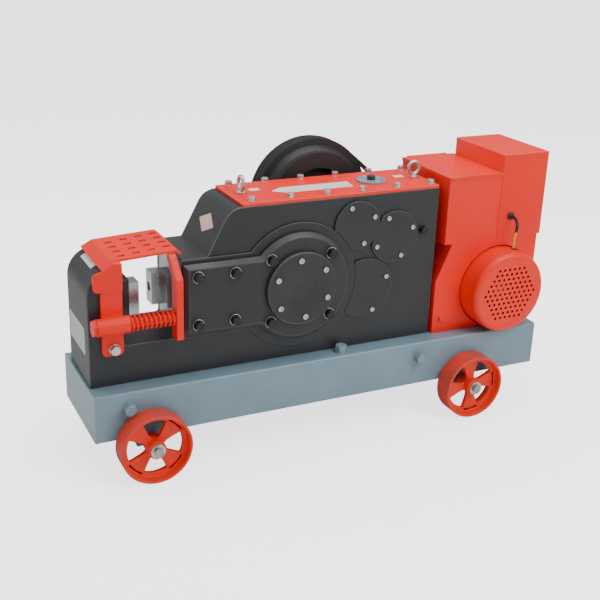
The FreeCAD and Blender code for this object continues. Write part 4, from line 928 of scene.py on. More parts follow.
# ---------------------------------------------------------------- housing
@dataclass
class Housing:
    """Side plates, slope, head and top plate of the gear housing, with their fasteners."""

    front: float = 56.0
    back: float = 260.0
    wall: float = 20.0
    left: float = 7.0
    right: float = 1040.0
    floor: float = 135.0
    head_top: float = 459.0
    top: float = 586.0
    mouth: tuple[float, float, float] = (100.0, 259.0, 244.0)
    rim: float = 16.0
    top_thickness: float = 8.5
    top_left: float = 430.0
    blade_seat: tuple[float, float] = (285.0, 410.0)
    bolt_first_x: float = 464.0
    bolt_pitch: float = 111.0
    bolt_rows: tuple[float, float] = (74.0, 242.0)
    filler: tuple[float, float] = (872.0, 160.0)
    filler_screw_circle: float = 34.0

    def outline(self) -> Points:
        """Return the side plates' outline, with the open mouth and the rounded head.

        Returns:
            Array (points, 2) in (x, z).
        """
        mouth_left, mouth_right, mouth_floor = self.mouth
        return rounded_outline([
            (self.left, self.floor), (self.right, self.floor), (self.right, self.top, 4.0),
            (396.7, self.top, 55.0), (330.0, self.head_top, 6.0), (mouth_right, self.head_top, 4.0),
            (mouth_right, mouth_floor, 8.0), (mouth_left, mouth_floor, 8.0), (mouth_left, self.head_top, 4.0),
            (self.left, self.head_top, 75.0),
        ], 12)

    def build(self, machine: Machine) -> None:
        """Add the housing's walls, the top plate and what is bolted to it.

        Args:
            machine: takes the pieces and holds the CAD nodes.
        """
        depth = self.back - self.front
        outline = self.outline()
        rows = eased(0.0, self.wall, 2.5)
        front = profile_plate(outline, rows, Facing.FRONT, (0, self.front + self.wall, 0))
        machine.add("side_plate_front", front, "frame", BLACK_ENAMEL, "black_paint", "housing_front")
        mirrored = np.column_stack([-outline[::-1, 0], outline[::-1, 1]])
        back = profile_plate(mirrored, rows, Facing.BACK, (0, self.back - self.wall, 0))
        machine.add("side_plate_back", back, "frame", BLACK_ENAMEL, "black_paint", "housing_back")

        inside = depth - 2 * self.wall
        flat = [(0.0, 0.0, 0.0), (0.0, inside, 0.0)]
        origin = (0, self.back - self.wall, 0)
        slope = rounded_outline([
            (259.0, self.head_top - self.rim), (339.7, self.head_top - self.rim, 4.0),
            (406.4, self.top - self.rim, 39.0), (self.top_left + 16.0, self.top - self.rim),
            (self.top_left + 16.0, self.top), (396.7, self.top, 55.0), (330.0, self.head_top, 6.0),
            (259.0, self.head_top),
        ], 12)
        machine.add("slope_wall", profile_plate(slope, flat, Facing.FRONT, origin), "frame", BLACK_ENAMEL,
                    "black_paint", "housing_slope")
        anvil = rounded_outline([
            (self.left, self.floor + self.rim), (self.mouth[0], self.floor + self.rim),
            (self.mouth[0], self.head_top, 2.0), (self.left, self.head_top, 75.0),
        ], 12)
        seat = block((self.mouth[0], 130.0), (98.0, 172.0), self.blade_seat)
        machine.add(
            "anvil", Surface.joined([profile_plate(anvil, flat, Facing.FRONT, origin), seat]), "frame",
            BLACK_ENAMEL, "black_paint", "anvil_block",
        )
        machine.dress(BLACK_ENAMEL, "housing_ends")
        machine.dress(TURNED_STEEL, "ram_guide", "bearings")
        self.build_top(machine)

    def build_top(self, machine: Machine) -> None:
        """Add the red top plate, its bolts, the lifting eyes and the filler.

        Args:
            machine: takes the pieces and holds the CAD nodes.
        """
        low, high = self.top, self.top + self.top_thickness
        outline = rounded_outline([
            (self.top_left, self.front, 6.0), (self.right + 1.0, self.front, 6.0),
            (self.right + 1.0, self.back, 6.0), (self.top_left, self.back, 6.0),
        ])
        machine.add(
            "top_plate", profile_plate(outline, eased(low, high, 1.6, 1.0), Facing.UP, (0, 0, 0)), "frame",
            RED_ENAMEL, "red_paint", "top_cover",
        )
        bolts = [
            hex_bolt(
                (self.bolt_first_x + self.bolt_pitch * column, y, high), Facing.UP, 18.0, 2.5,
                turn=17.0 * column + y,
            )
            for column in range(6)
            for y in self.bolt_rows
        ]
        machine.add("top_plate_bolts", Surface.joined(bolts), "frame", ZINC_PLATE, "zinc", "top_cover_bolts")
        for side, x, facing in (("left", 467.0, Facing.RIGHT), ("right", 1013.0, Facing.FRONT)):
            machine.add(f"eye_{side}", self.lifting_eye(x, high, facing), "frame", ZINC_PLATE, "zinc",
                        f"lifting_eye_{side}")

        filler_x, filler_y = self.filler
        centre = (filler_x, filler_y, high)
        circle_radius = self.filler_screw_circle
        flange = turned([
            (42.6, 0.0), (43.0, 0.4), (43.0, 4.2), (42.2, 5.0), (30.0, 5.0), (26.0, 4.4), (20.0, 4.4),
        ], Facing.UP, centre, 72)
        machine.add("filler_flange", flange, "frame", BASE_ENAMEL, "base_paint", "filler_cover")
        screws = [
            socket_screw(
                (
                    filler_x + circle_radius * math.cos(a), filler_y + circle_radius * math.sin(a),
                    high + 5.0,
                ),
                Facing.UP, 4.5, 4.0,
            )
            for a in np.radians([45, 135, 225, 315])
        ]
        machine.add("filler_screws", Surface.joined(screws), "frame", ZINC_PLATE, "zinc")
        ridges = [(12.0 - 0.5 * (k % 2), 6.0 + k) for k in range(8)]
        cap = turned(
            [(11.0, 4.5), (12.0, 5.2)] + ridges + [(11.6, 14.5), (10.4, 15.8), (9.0, 16.0), (8.0, 16.0)],
            Facing.UP, centre, 40,
        )
        machine.add("breather", cap, "frame", BLACK_ENAMEL, "black_paint", "breather_cap")

    @staticmethod
    def lifting_eye(x: float, top: float, facing: Facing) -> Surface:
        """Forged eye: a torus on a neck that flares into a round collar.

        Args:
            x: place along the machine.
            top: height of the plate that it stands on.
            facing: n runs through the ring's hole.

        Returns:
            The eye.
        """
        major, minor, y = 18.0, 5.5, 158.0
        centre_z = top + 6.0 + major + minor - 1.5
        angles = np.linspace(0, 2 * math.pi, 48, endpoint=False)
        loop = np.column_stack([major * np.cos(angles), major * np.sin(angles), np.zeros(48)])
        ring = swept(facing.place(loop, (x, y, centre_z)), minor, 16, closed=True)
        rise = np.linspace(0.0, 1.0, 10)
        neck = [(14.0, 0.0), (14.0, 4.6), (13.0, 5.8)]
        neck += [(6.4 + 6.0 * (1 - t) ** 3, 6.0 + 5.5 * t) for t in rise]
        return Surface.joined([ring, turned(neck, Facing.UP, (x, y, top), 48)])


@dataclass
class FrontCovers:
    """Crank cover with its bearing cap, the round covers in front and behind, and their fasteners."""

    wall_y: float = 56.0
    crank: tuple[float, float] = (595.0, 350.0)
    shafts: tuple[tuple[float, float, float, float], ...] = (
        (774.5, 501.5, 71.0, 56.7), (896.6, 456.8, 76.0, 61.8), (807.3, 312.1, 88.0, 74.0),
    )
    back_y: float = 260.0
    cover_front: float = 30.0
    cap_front: float = 16.0
    cap_screw_circle: float = 82.5
    bolt_circle: float = 127.0
    bar_bolt_xs: tuple[float, float] = (296.0, 401.0)
    bar_bolt_zs: tuple[float, float] = (283.0, 417.0)
    bolt_flats: float = 24.0
    cover_thickness: float = 7.0
    first_screw: float = 22.5
    plate_reach: float = 190.0
    rear_screw_inset: float = 10.0
    rear_bore: float = 23.0
    plug: tuple[float, float] = (992.0, 466.0)
    bracket_bolt: tuple[float, float, float] = (71.5, 46.5, 243.5)
    rear_covers: tuple[tuple[float, float, float], ...] = (
        (774.5, 501.5, 56.0), (896.6, 456.8, 60.0), (807.3, 312.1, 65.0), (595.0, 350.0, 75.0),
    )

    def keyhole(self, radius: float, half: float, left: float, rounding: float) -> Points:
        """Outline of a disc joined to a bar that runs left from it.

        The disc's arc starts and ends where its height equals the bar's half height.

        Args:
            radius: radius of the disc.
            half: half height of the bar.
            left: x of the bar's left end.
            rounding: radius of the bar's left corners.

        Returns:
            Array (points, 2) in (x, z).
        """
        x, z = self.crank
        opening = math.asin(half / radius)
        angles = np.linspace(opening - math.pi, math.pi - opening, 90)
        arc = np.column_stack([x + radius * np.cos(angles), z + radius * np.sin(angles)])
        end = rounded_outline([
            (x, z + half), (left, z + half, rounding), (left, z - half, rounding), (x, z - half),
        ], 6)[1:-1]
        return np.concatenate([arc, end])

    def build(self, machine: Machine) -> None:
        """Add the covers and their fasteners.

        Args:
            machine: takes the pieces and holds the CAD nodes.
        """
        x, z = self.crank
        plate = profile_plate(self.keyhole(180.0, 111.0, 256.0, 4.0), eased(0.0, 6.0, 1.4), Facing.FRONT,
                              (0, self.wall_y, 0))
        machine.add("crank_plate", plate, "frame", BLACK_ENAMEL, "black_paint", "crank_cover_plate")
        # The third column paints a highlight along the case's bevel.
        rows = [
            (0.0, 0.0, 0.0), (0.0, 7.0, 0.0), (0.35, 8.4, 0.8), (1.3, 9.6, 0.6), (10.2, 18.6, 0.6),
            (11.6, 19.6, 0.8), (13.4, 20.0, 0.3), (14.4, 20.0, 0.0),
        ]
        cover = profile_plate(self.keyhole(155.0, 100.0, 260.0, 0.0), rows, Facing.FRONT, (0, 50.0, 0))
        machine.add("crank_case", cover, "frame", BLACK_ENAMEL, "black_paint", "crank_cover")
        # The third column paints a highlight on the cap's rounded rim.
        cap = turned([(105.0, 0.0), (105.0, 10.5, 0.4), (104.2, 12.4, 0.9), (102.0, 13.9, 0.9), (100.5, 14.0),
                      (40.0, 14.0), (38.5, 13.2), (20.0, 13.2)], Facing.FRONT, (x, self.cover_front, z), 96)
        machine.add("crank_bearing_cap", cap, "frame", BLACK_ENAMEL, "black_paint", "bearing_cap")
        screws = [
            socket_screw(
                (
                    x + self.cap_screw_circle * math.cos(a), self.cap_front,
                    z + self.cap_screw_circle * math.sin(a),
                ),
                Facing.FRONT, 8.0, 5.0,
            )
            for a in np.radians(36 + 60 * np.arange(6))
        ]
        machine.add("cap_screws", Surface.joined(screws), "frame", ZINC_PLATE, "zinc")
        places = [
            (x + self.bolt_circle * math.cos(a), z + self.bolt_circle * math.sin(a))
            for a in np.radians([45, 135, 225, 315])
        ]
        places += [(bx, bz) for bx in self.bar_bolt_xs for bz in self.bar_bolt_zs]
        bolts = [
            hex_bolt((bx, self.cover_front, bz), Facing.FRONT, self.bolt_flats, 3.0, turn=bx)
            for bx, bz in places
        ]
        # Zinc washers under the black crank cover bolts: their bright rims are a painted highlight, the lit
        # crescents round the bolt heads.
        washers = [
            turned(
                [(14.95, 0.1), (16.2, 0.1), (16.2, 2.2), (15.8, 2.6), (14.95, 2.6)], Facing.FRONT,
                (bx, self.cover_front, bz), 48, closed=True,
            )
            for bx, bz in places
        ]
        machine.add("crank_washers", Surface.joined(washers), "frame", ZINC_PLATE, "zinc")
        machine.add(
            "crank_bolts", Surface.joined(bolts), "frame", BLACK_OXIDE, "black_bolt", "crank_cover_bolts",
        )
        self.build_shaft_covers(machine)

    def trimmed_disc(self, number: int, clearance: float) -> Points:
        """Disc whose radius is cut along each direction by a neighbour's flat or by the crank plate.

        Args:
            number: which shaft cover.
            clearance: gap left to the crank plate.

        Returns:
            Outline in (x, z).
        """
        x, z, radius, _ = self.shafts[number]
        angles = np.linspace(0, 2 * math.pi, 144, endpoint=False)
        reach = np.full(144, radius)
        flats = {0: (1, 67.0), 1: (0, 62.0)}
        if number in flats:
            other, flat = flats[number]
            towards = math.atan2(self.shafts[other][1] - z, self.shafts[other][0] - x)
            facing = np.maximum(np.cos(angles - towards), 1e-3)
            reach = np.minimum(reach, flat / facing)
        away = np.array([x - self.crank[0], z - self.crank[1]])
        keep = 180.0 + clearance
        middle = away[0] * np.cos(angles) + away[1] * np.sin(angles)
        inside = middle**2 - (away @ away - keep**2)
        hit = np.where((inside > 0) & (middle < 0), -middle - np.sqrt(np.maximum(inside, 0)), radius)
        reach = np.minimum(reach, hit)
        return np.column_stack([x + reach * np.cos(angles), z + reach * np.sin(angles)])

    def build_shaft_covers(self, machine: Machine) -> None:
        """Add the round covers in front and behind, their screws, the bracket bolt and the plug.

        Args:
            machine: takes the pieces and holds the CAD nodes.
        """
        covers, screws = [], []
        for number, (x, z, _, screw_radius) in enumerate(self.shafts):
            covers.append(
                profile_plate(
                    self.trimmed_disc(number, 1.0), eased(0.0, self.cover_thickness, 1.2), Facing.FRONT,
                    (0, self.wall_y, 0),
                )
            )
            for a in np.radians(self.first_screw + 90 * np.arange(4)):
                sx, sz = x + screw_radius * math.cos(a), z + screw_radius * math.sin(a)
                if math.hypot(sx - self.crank[0], sz - self.crank[1]) > self.plate_reach:
                    screws.append(
                        socket_screw((sx, self.wall_y - self.cover_thickness, sz), Facing.FRONT, 7.0, 4.0)
                    )
        for number, (x, z, radius) in enumerate(self.rear_covers):
            # The third column paints a highlight on each cover's rounded rim.
            rows = [(radius, 0.0), (radius, 5.6, 0.4), (radius - 0.5, 6.6, 1.0), (radius - 1.4, 7.0, 1.0),
                    (radius - 2.0, 7.0)]
            if number == 0:
                rows += [(self.rear_bore, self.cover_thickness), (self.rear_bore, 0.0)]
            covers.append(turned(rows, Facing.BACK, (x, self.back_y, z), 72, closed=number == 0))
            for a in np.radians(self.first_screw + 90 * np.arange(4)):
                reach = radius - self.rear_screw_inset
                place = (x + reach * math.cos(a), self.back_y + self.cover_thickness, z + reach * math.sin(a))
                screws.append(socket_screw(place, Facing.BACK, 7.0, 4.0))
        screws.append(hex_bolt(self.bracket_bolt, Facing.FRONT, self.bolt_flats, 3.0, turn=14.0))
        machine.add(
            "round_covers", Surface.joined(covers), "frame", BLACK_ENAMEL, "black_paint", "shaft_covers",
        )
        machine.add(
            "round_cover_screws", Surface.joined(screws), "frame", ZINC_PLATE, "zinc", "housing_screws",
        )
        plug = hex_bolt((self.plug[0], self.wall_y, self.plug[1]), Facing.FRONT, 20.0, 2.5)
        machine.add("level_plug", plug, "frame", BLACK_OXIDE, "black_bolt")


# ---------------------------------------------------------------- mechanism
@dataclass
class Mechanism:
    """Flywheel, gears, crank, ram and blades."""

    def build(self, machine: Machine) -> None:
        """Dress the moving machinery.

        Args:
            machine: takes the pieces and holds the CAD nodes.
        """
        machine.dress(BLACK_ENAMEL, "flywheel")
        machine.dress(TURNED_STEEL, "input_shaft", "intermediate_shaft", "second_shaft", "crank_shaft", "ram")
        machine.dress(GEAR_STEEL, "intermediate_gear", "second_gear", "main_gear")
        machine.dress(GROUND_TOOL_STEEL, "fixed_blade", "moving_blade")


@dataclass
class MouthGuard:
    """Hinged guard over the mouth, its bracket and its coil spring."""

    hinge_y: float = 23.0
    hinge_z: float = 318.0
    spring_x: tuple[float, float] = (106.0, 226.5)
    coil: float = 19.0
    wire: float = 2.75
    turns: float = 10.0

    def spring(self) -> Surface:
        """Closed-end coil: the pitch eases to the wire's width over the first and last turn.

        The angle grows steadily with t, and x follows the integral of the local pitch.

        Returns:
            The coil.
        """
        t = np.linspace(0.0, 1.0, int(self.turns * 32))
        turn = t * self.turns
        open_pitch = np.clip(np.minimum(turn, self.turns - turn), 0.0, 1.0)
        rate = 0.32 + 0.68 * open_pitch
        travel = np.cumsum(rate)
        travel = (travel - travel[0]) / (travel[-1] - travel[0])
        length = self.spring_x[1] - self.spring_x[0] - 2 * self.wire
        angle = 2 * math.pi * turn
        path = np.column_stack([
            self.spring_x[0] + self.wire + length * travel,
            self.hinge_y + self.coil * np.cos(angle),
            self.hinge_z + self.coil * np.sin(angle),
        ])
        return swept(path, self.wire, 12)

    def build(self, machine: Machine) -> None:
        """Add the spring and dress the guard, its shaft and its bracket.

        Args:
            machine: takes the pieces and holds the CAD nodes.
        """
        machine.add("hinge_spring", self.spring(), "guard", RED_ENAMEL, "red_paint", "guard_spring")
        machine.dress(RED_ENAMEL, "guard_plate", "guard_arm", "guard_bracket")


# ---------------------------------------------------------------- motor, belts and boxes
@dataclass
class Motor:
    """Motor with its perforated cowl, fan, pulley and belts, and the two-core lead to it."""

    gland: tuple[float, float, float] = (1296.0, 47.0, 479.0)
    grommet: tuple[float, float, float] = (1297.0, 18.0, 372.0)
    sheath: tuple[tuple[float, float, float], ...] = (
        (1296.0, 38.0, 479.0), (1296.0, 24.0, 479.0), (1294.5, 12.0, 472.0), (1292.5, 5.0, 460.0),
        (1291.0, 4.6, 449.0), (1291.0, 5.0, 441.0),
    )
    cores: tuple[tuple[float, float, float], ...] = (
        (1291.0, 5.0, 441.0), (1291.0, 6.4, 435.0), (1291.8, 9.0, 427.0), (1294.0, 14.0, 413.0),
        (1297.0, 18.0, 400.0), (1297.0, 18.0, 386.0),
    )

    @staticmethod
    def route_length(route: Points) -> float:
        """Length of the quadratic B-spline that the route controls.

        Span k runs from the middle of one side of the route to the middle of the next, bent
        towards the corner between them; the first and last spans start and end on the ends.

        Args:
            route: control points, in any unit of length.

        Returns:
            The length in the same unit.
        """
        t = np.linspace(0.0, 1.0, 60)[:, None]
        total = 0.0
        last = len(route) - 3
        for k in range(last + 1):
            start = route[0] if k == 0 else (route[k] + route[k + 1]) / 2
            end = route[-1] if k == last else (route[k + 1] + route[k + 2]) / 2
            points = (1 - t) ** 2 * start + 2 * t * (1 - t) * route[k + 1] + t**2 * end
            total += float(np.sum(np.linalg.norm(np.diff(points, axis=0), axis=1)))
        return total

    def cord(
        self, machine: Machine, name: str, route: Points, diameter: float, finish: Finish
    ) -> bpy.types.Object:
        """Add one round cord along a route.

        Args:
            machine: the machine.
            name: the piece's name.
            route: control points in machine millimetres.
            diameter: outer diameter.
            finish: its material.

        Returns:
            The cord.
        """
        curve = bpy.data.curves.new(name, "CURVE")
        curve.dimensions = "3D"
        curve.bevel_depth = diameter / 2000
        curve.bevel_resolution = 5
        curve.use_fill_caps = True
        spline = curve.splines.new("NURBS")
        places = machine.metres(route)
        spline.points.add(len(places) - 1)
        for point, place in zip(spline.points, places):
            point.co = (*place, 1.0)
        spline.order_u = 3
        spline.use_endpoint_u = True
        spline.resolution_u = 12
        curve.materials.append(finish.material())
        made = bpy.data.objects.new(name, curve)
        bpy.context.scene.collection.objects.link(made)
        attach(made, "frame")
        return made

    def build(self, machine: Machine) -> None:
        """Dress the motor's parts and add its lead.

        Args:
            machine: takes the pieces and holds the CAD nodes.
        """
        machine.dress(MOTOR_ENAMEL, "motor_body")
        machine.dress(COWL_ENAMEL, "motor_fan_cowl")
        machine.dress(FAN_NYLON, "motor_fan")
        machine.dress(TURNED_STEEL, "motor_rotor")
        machine.dress(RAW_IRON, "motor_pulley")
        machine.dress(BELT_RUBBER, "v_belts")
        gland = turned([
            (12.0, 0.0), (12.0, 3.0), (11.0, 4.0), (8.6, 4.6), (7.4, 7.5), (6.4, 9.0), (5.6, 9.4),
        ], Facing.FRONT, self.gland, 40)
        grommet = turned([(8.0, 0.0), (8.0, 12.6), (7.4, 13.6), (6.4, 14.0)], Facing.UP, self.grommet, 32)
        machine.add(
            "gland", Surface.joined([gland, grommet]), "frame", CABLE_SHEATH, "lead_sheath", "lead_gland",
        )
        sheath = self.cord(machine, "lead_sheath_cord", np.array(self.sheath), 9.0, CABLE_SHEATH)
        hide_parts("motor_lead")
        for number, side in enumerate((-1.0, 1.0)):
            route = np.array(self.cores)
            route[1:, 0] += side * 2.0
            self.cord(machine, f"lead_core_{number}", route, 3.4, CORE_INSULATION)


@dataclass
class SheetBoxes:
    """Tool box with its lid, control box with its buttons, and the cover below them."""

    front: float = 47.0
    sheet: float = 3.0
    floor: float = 412.0
    tool_x: tuple[float, float] = (1068.0, 1252.0)
    tool_back: float = 312.0
    tool_top: float = 612.0
    control_x: tuple[float, float] = (1252.0, 1415.0)
    control_back: float = 301.0
    control_top: float = 668.0
    lid_gap: float = 0.3

    def tool_box(self) -> Surface:
        """Open box: its outline carried up the outside, over the rim and down the inside.

        Returns:
            The box with its fixed knuckles and the hinge pin.
        """
        x, bend = self.tool_x, 3.5
        outline = rounded_outline([
            (x[0], self.front, bend), (x[1], self.front, bend), (x[1], self.tool_back, bend),
            (x[0], self.tool_back, bend),
        ], 5)
        # The third column paints a highlight along the bottom fold and the rim.
        rows = [
            (1.4, self.floor, 0.0), (0.4, self.floor + 0.5, 0.4), (0.0, self.floor + 1.6, 0.4),
            (0.0, self.floor + 3.0, 0.0), (0.0, self.tool_top, 0.2), (self.sheet - 0.1, self.tool_top, 0.0),
            (self.sheet - 0.1, self.floor + self.sheet, 0.0),
        ]
        walls = profile_plate(outline, rows, Facing.UP, (0, 0, 0))
        hinge_y, hinge_z = self.tool_back + 7.0, self.tool_top - 2.0
        parts = [walls, self.barrel((1090.0, 1230.0), 3.0)]
        for left in (1090.0, 1200.0):
            parts.append(self.barrel((left, left + 30.0), 6.0))
            parts.append(
                block((left, left + 30.0), (self.tool_back, hinge_y), (hinge_z - 20.0, hinge_z), 0.8)
            )
        return Surface.joined(parts)

    def barrel(self, x: tuple[float, float], radius: float) -> Surface:
        """Return a hinge barrel or pin between two values of x."""
        rows = [(radius - 0.4, 0.0), (radius, 0.4), (radius, x[1] - x[0] - 0.4), (radius - 0.4, x[1] - x[0])]
        return turned(rows, Facing.RIGHT, (x[0], self.tool_back + 7.0, self.tool_top - 2.0), 24)

    def lid(self) -> Surface:
        """Return the lid with its folded lips and its hinge leaf.

        Returns:
            The lid.
        """
        x = (self.tool_x[0] - self.lid_gap - self.sheet, self.tool_x[1] - self.lid_gap)
        y = (self.front - self.lid_gap - self.sheet, self.tool_back - 2.0)
        z = (self.tool_top + self.lid_gap, self.tool_top + self.lid_gap + self.sheet)
        lip = (self.tool_top - 7.0, z[0] + 0.6)
        parts = [
            block(x, y, z, 1.4), block(x, (y[0], y[0] + self.sheet - 0.2), lip, 0.6),
            block((x[0], x[0] + self.sheet - 0.2), y, lip, 0.6),
            block((1120.5, 1199.5), (y[1] - 2.0, self.tool_back + 7.0), z, 0.8),
            self.barrel((1120.5, 1199.5), 6.0),
        ]
        return Surface.joined(parts)

    def control_box(self) -> Surface:
        """Closed box with soft folds, and the button station on its end.

        Returns:
            The box and its button station.
        """
        x, bend = self.control_x, 3.5
        outline = rounded_outline([
            (x[0], self.front, bend), (x[1], self.front, bend), (x[1], self.control_back, bend),
            (x[0], self.control_back, bend),
        ], 5)
        shell = profile_plate(outline, eased(self.floor, self.control_top, 2.6, 1.6), Facing.UP, (0, 0, 0))
        end = x[1]
        station = rounded_outline([
            (122.0, 515.0, 8.0), (178.0, 515.0, 8.0), (178.0, 632.0, 8.0), (122.0, 632.0, 8.0),
        ])
        panel = profile_plate(station, eased(0.0, 10.0, 2.5), Facing.RIGHT, (end, 0, 0))
        return Surface.joined([shell, panel])

    def lower_cover(self) -> Surface:
        """Front sheet with a round opening, its sides and one fixing bolt.

        The front is a grid between the opening's circle and the outline: along each direction
        from the motor's axis the outer row reaches the nearest side of the outline.

        Returns:
            The cover.
        """
        left, slant, right, base = 1047.0, 1095.0, 1404.0, 135.0
        axis = np.array([1265.0, 262.0])
        corners = np.array([
            (left, base), (right, base), (right, self.floor), (slant, self.floor), (left, 300.0),
        ])
        angles = np.linspace(-math.pi, math.pi, 240, endpoint=False)
        exact = np.arctan2(corners[:, 1] - axis[1], corners[:, 0] - axis[0])
        angles = np.sort(np.concatenate([angles, exact]))
        heading = np.column_stack([np.cos(angles), np.sin(angles)])
        side = np.roll(corners, -1, axis=0) - corners
        normal = np.column_stack([side[:, 1], -side[:, 0]])
        distance = np.sum(normal * (corners - axis), axis=1)
        along = heading @ normal.T
        outer = np.min(np.where(along > 1e-6, distance / np.maximum(along, 1e-6), np.inf), axis=1)
        inner = np.full(len(angles), 128.0)
        depth = self.sheet
        rows = [
            (inner, 0.0), (inner, depth - 0.5), (inner + 0.5, depth), (outer - 0.8, depth),
            (outer, depth - 0.8), (outer, 0.0),
        ]
        rings = np.array([
            np.column_stack([axis + heading * reach[:, None], np.full(len(angles), level)])
            for reach, level in rows
        ])
        face = loft(Facing.FRONT.place(rings[::-1], (0, self.front + self.sheet, 0)), closed=True)
        side_y = (self.front + self.sheet, self.tool_back)
        flat = [(0.0, 0.0, 0.0), (0.0, side_y[1] - side_y[0], 0.0)]
        lean = np.array([
            (left, base), (left + depth, base), (left + depth, 300.0), (slant + depth, self.floor),
            (slant, self.floor), (left, 300.0),
        ])
        parts = [
            face, profile_plate(lean, flat, Facing.FRONT, (0, side_y[1], 0)),
            block((right - depth, right), (side_y[0], self.control_back), (base, self.floor), 0.6),
            hex_bolt((1075.0, self.front, 180.0), Facing.FRONT, 13.0, 1.5),
        ]
        return Surface.joined(parts)

    def build(self, machine: Machine) -> None:
        """Add the boxes, the lid, the cover and the buttons.

        Args:
            machine: takes the pieces and holds the CAD nodes.
        """
        machine.add("tool_box_shell", self.tool_box(), "frame", RED_ENAMEL, "red_paint", "tool_box")
        machine.add("lid", self.lid(), "tool_box_lid", RED_ENAMEL, "red_paint", "tool_box_lid")
        machine.add("control_box_shell", self.control_box(), "frame", RED_ENAMEL, "red_paint", "control_box")
        machine.add("lower_cover_sheet", self.lower_cover(), "frame", RED_ENAMEL, "red_paint", "lower_cover")
        machine.dress(RED_ENAMEL, "belt_guard")
        for name, z, finish, slot in (("start_button", 600.0, GREEN_PLASTIC, "green_button"),
                                      ("stop_button", 545.0, RED_PLASTIC, "red_button")):
            cap = turned([(14.0, 6.0), (14.0, 16.5), (13.4, 18.2), (12.0, 19.0), (9.0, 18.6), (4.0, 18.2)],
                         Facing.RIGHT, (self.control_x[1] + 1.0, 150.0, z), 40)
            machine.add(f"{name}_cap", cap, name, finish, slot, name)


# ---------------------------------------------------------------- blank labels
@dataclass
class BlankLabels:
    """Printed films and the nameplate, left blank."""

    film: float = 0.4

    def build(self, machine: Machine) -> None:
        """Add each label as a thin sheet on its surface.

        Args:
            machine: takes the pieces and holds the CAD nodes.
        """
        top = 594.5
        strip = rounded_outline([
            (552.0, 148.0, 4.0), (590.0, 122.0, 4.0), (794.0, 122.0, 2.0), (802.0, 176.0, 2.0),
            (590.0, 176.0, 4.0),
        ], 4)
        self.add(machine, "top_strip", strip, Facing.UP, (0, 0, top), WHITE_FILM)
        for number, x in enumerate((500.0, 960.0)):
            small = rounded_outline([
                (x, 170.0, 2.0), (x + 30.0, 170.0, 2.0), (x + 30.0, 192.0, 2.0), (x, 192.0, 2.0),
            ], 3)
            self.add(machine, f"eye_note_{number}", small, Facing.UP, (0, 0, top), WHITE_FILM)
        plate = rounded_outline([
            (-244.0, 216.0, 3.0), (-93.0, 216.0, 3.0), (-93.0, 292.0, 3.0), (-244.0, 292.0, 3.0),
        ], 3)
        self.add(machine, "nameplate", plate, Facing.LEFT, (7.0, 0, 0), PLATE_ALUMINIUM)
        warning = rounded_outline([
            (-152.0, 46.0, 2.0), (-100.0, 74.0, 2.0), (-152.0, 102.0, 2.0), (-204.0, 74.0, 2.0),
        ], 3)
        self.add(machine, "slope_note", warning, Facing.SLOPE, (330.0, 0, 459.0), PINK_FILM)
        machine.add("label_head_note", self.bent_film(), "frame", WHITE_FILM, "zinc")

    def bent_film(self) -> Surface:
        """Film wrapped on the head's rounded corner: points lie on an arc about the corner's axis.

        Returns:
            The film.
        """
        angles = np.radians(np.linspace(107.0, 127.0, 12))
        outer, inner = 75.0 + self.film, 75.0 + 0.05
        rings = []
        for y in (222.0, 118.0):
            arc = [(82.0 + outer * math.cos(a), y, 384.0 + outer * math.sin(a)) for a in angles]
            arc += [(82.0 + inner * math.cos(a), y, 384.0 + inner * math.sin(a)) for a in angles[::-1]]
            rings.append(arc)
        return loft(np.array(rings))

    def add(
        self, machine: Machine, name: str, outline: Points, facing: Facing,
        origin: tuple[float, float, float], finish: Finish,
    ) -> None:
        """Add one label.

        Args:
            machine: the machine.
            name: the piece's name.
            outline: outline in (u, v).
            facing: n points out of the surface.
            origin: a point of the surface.
            finish: the label's material.
        """
        rows = [(0.0, 0.02, 0.0), (0.0, self.film * 0.7, 0.0), (0.2, self.film, 0.0), (0.6, self.film, 0.0)]
        machine.add(f"label_{name}", profile_plate(outline, rows, facing, origin), "frame", finish, "zinc")


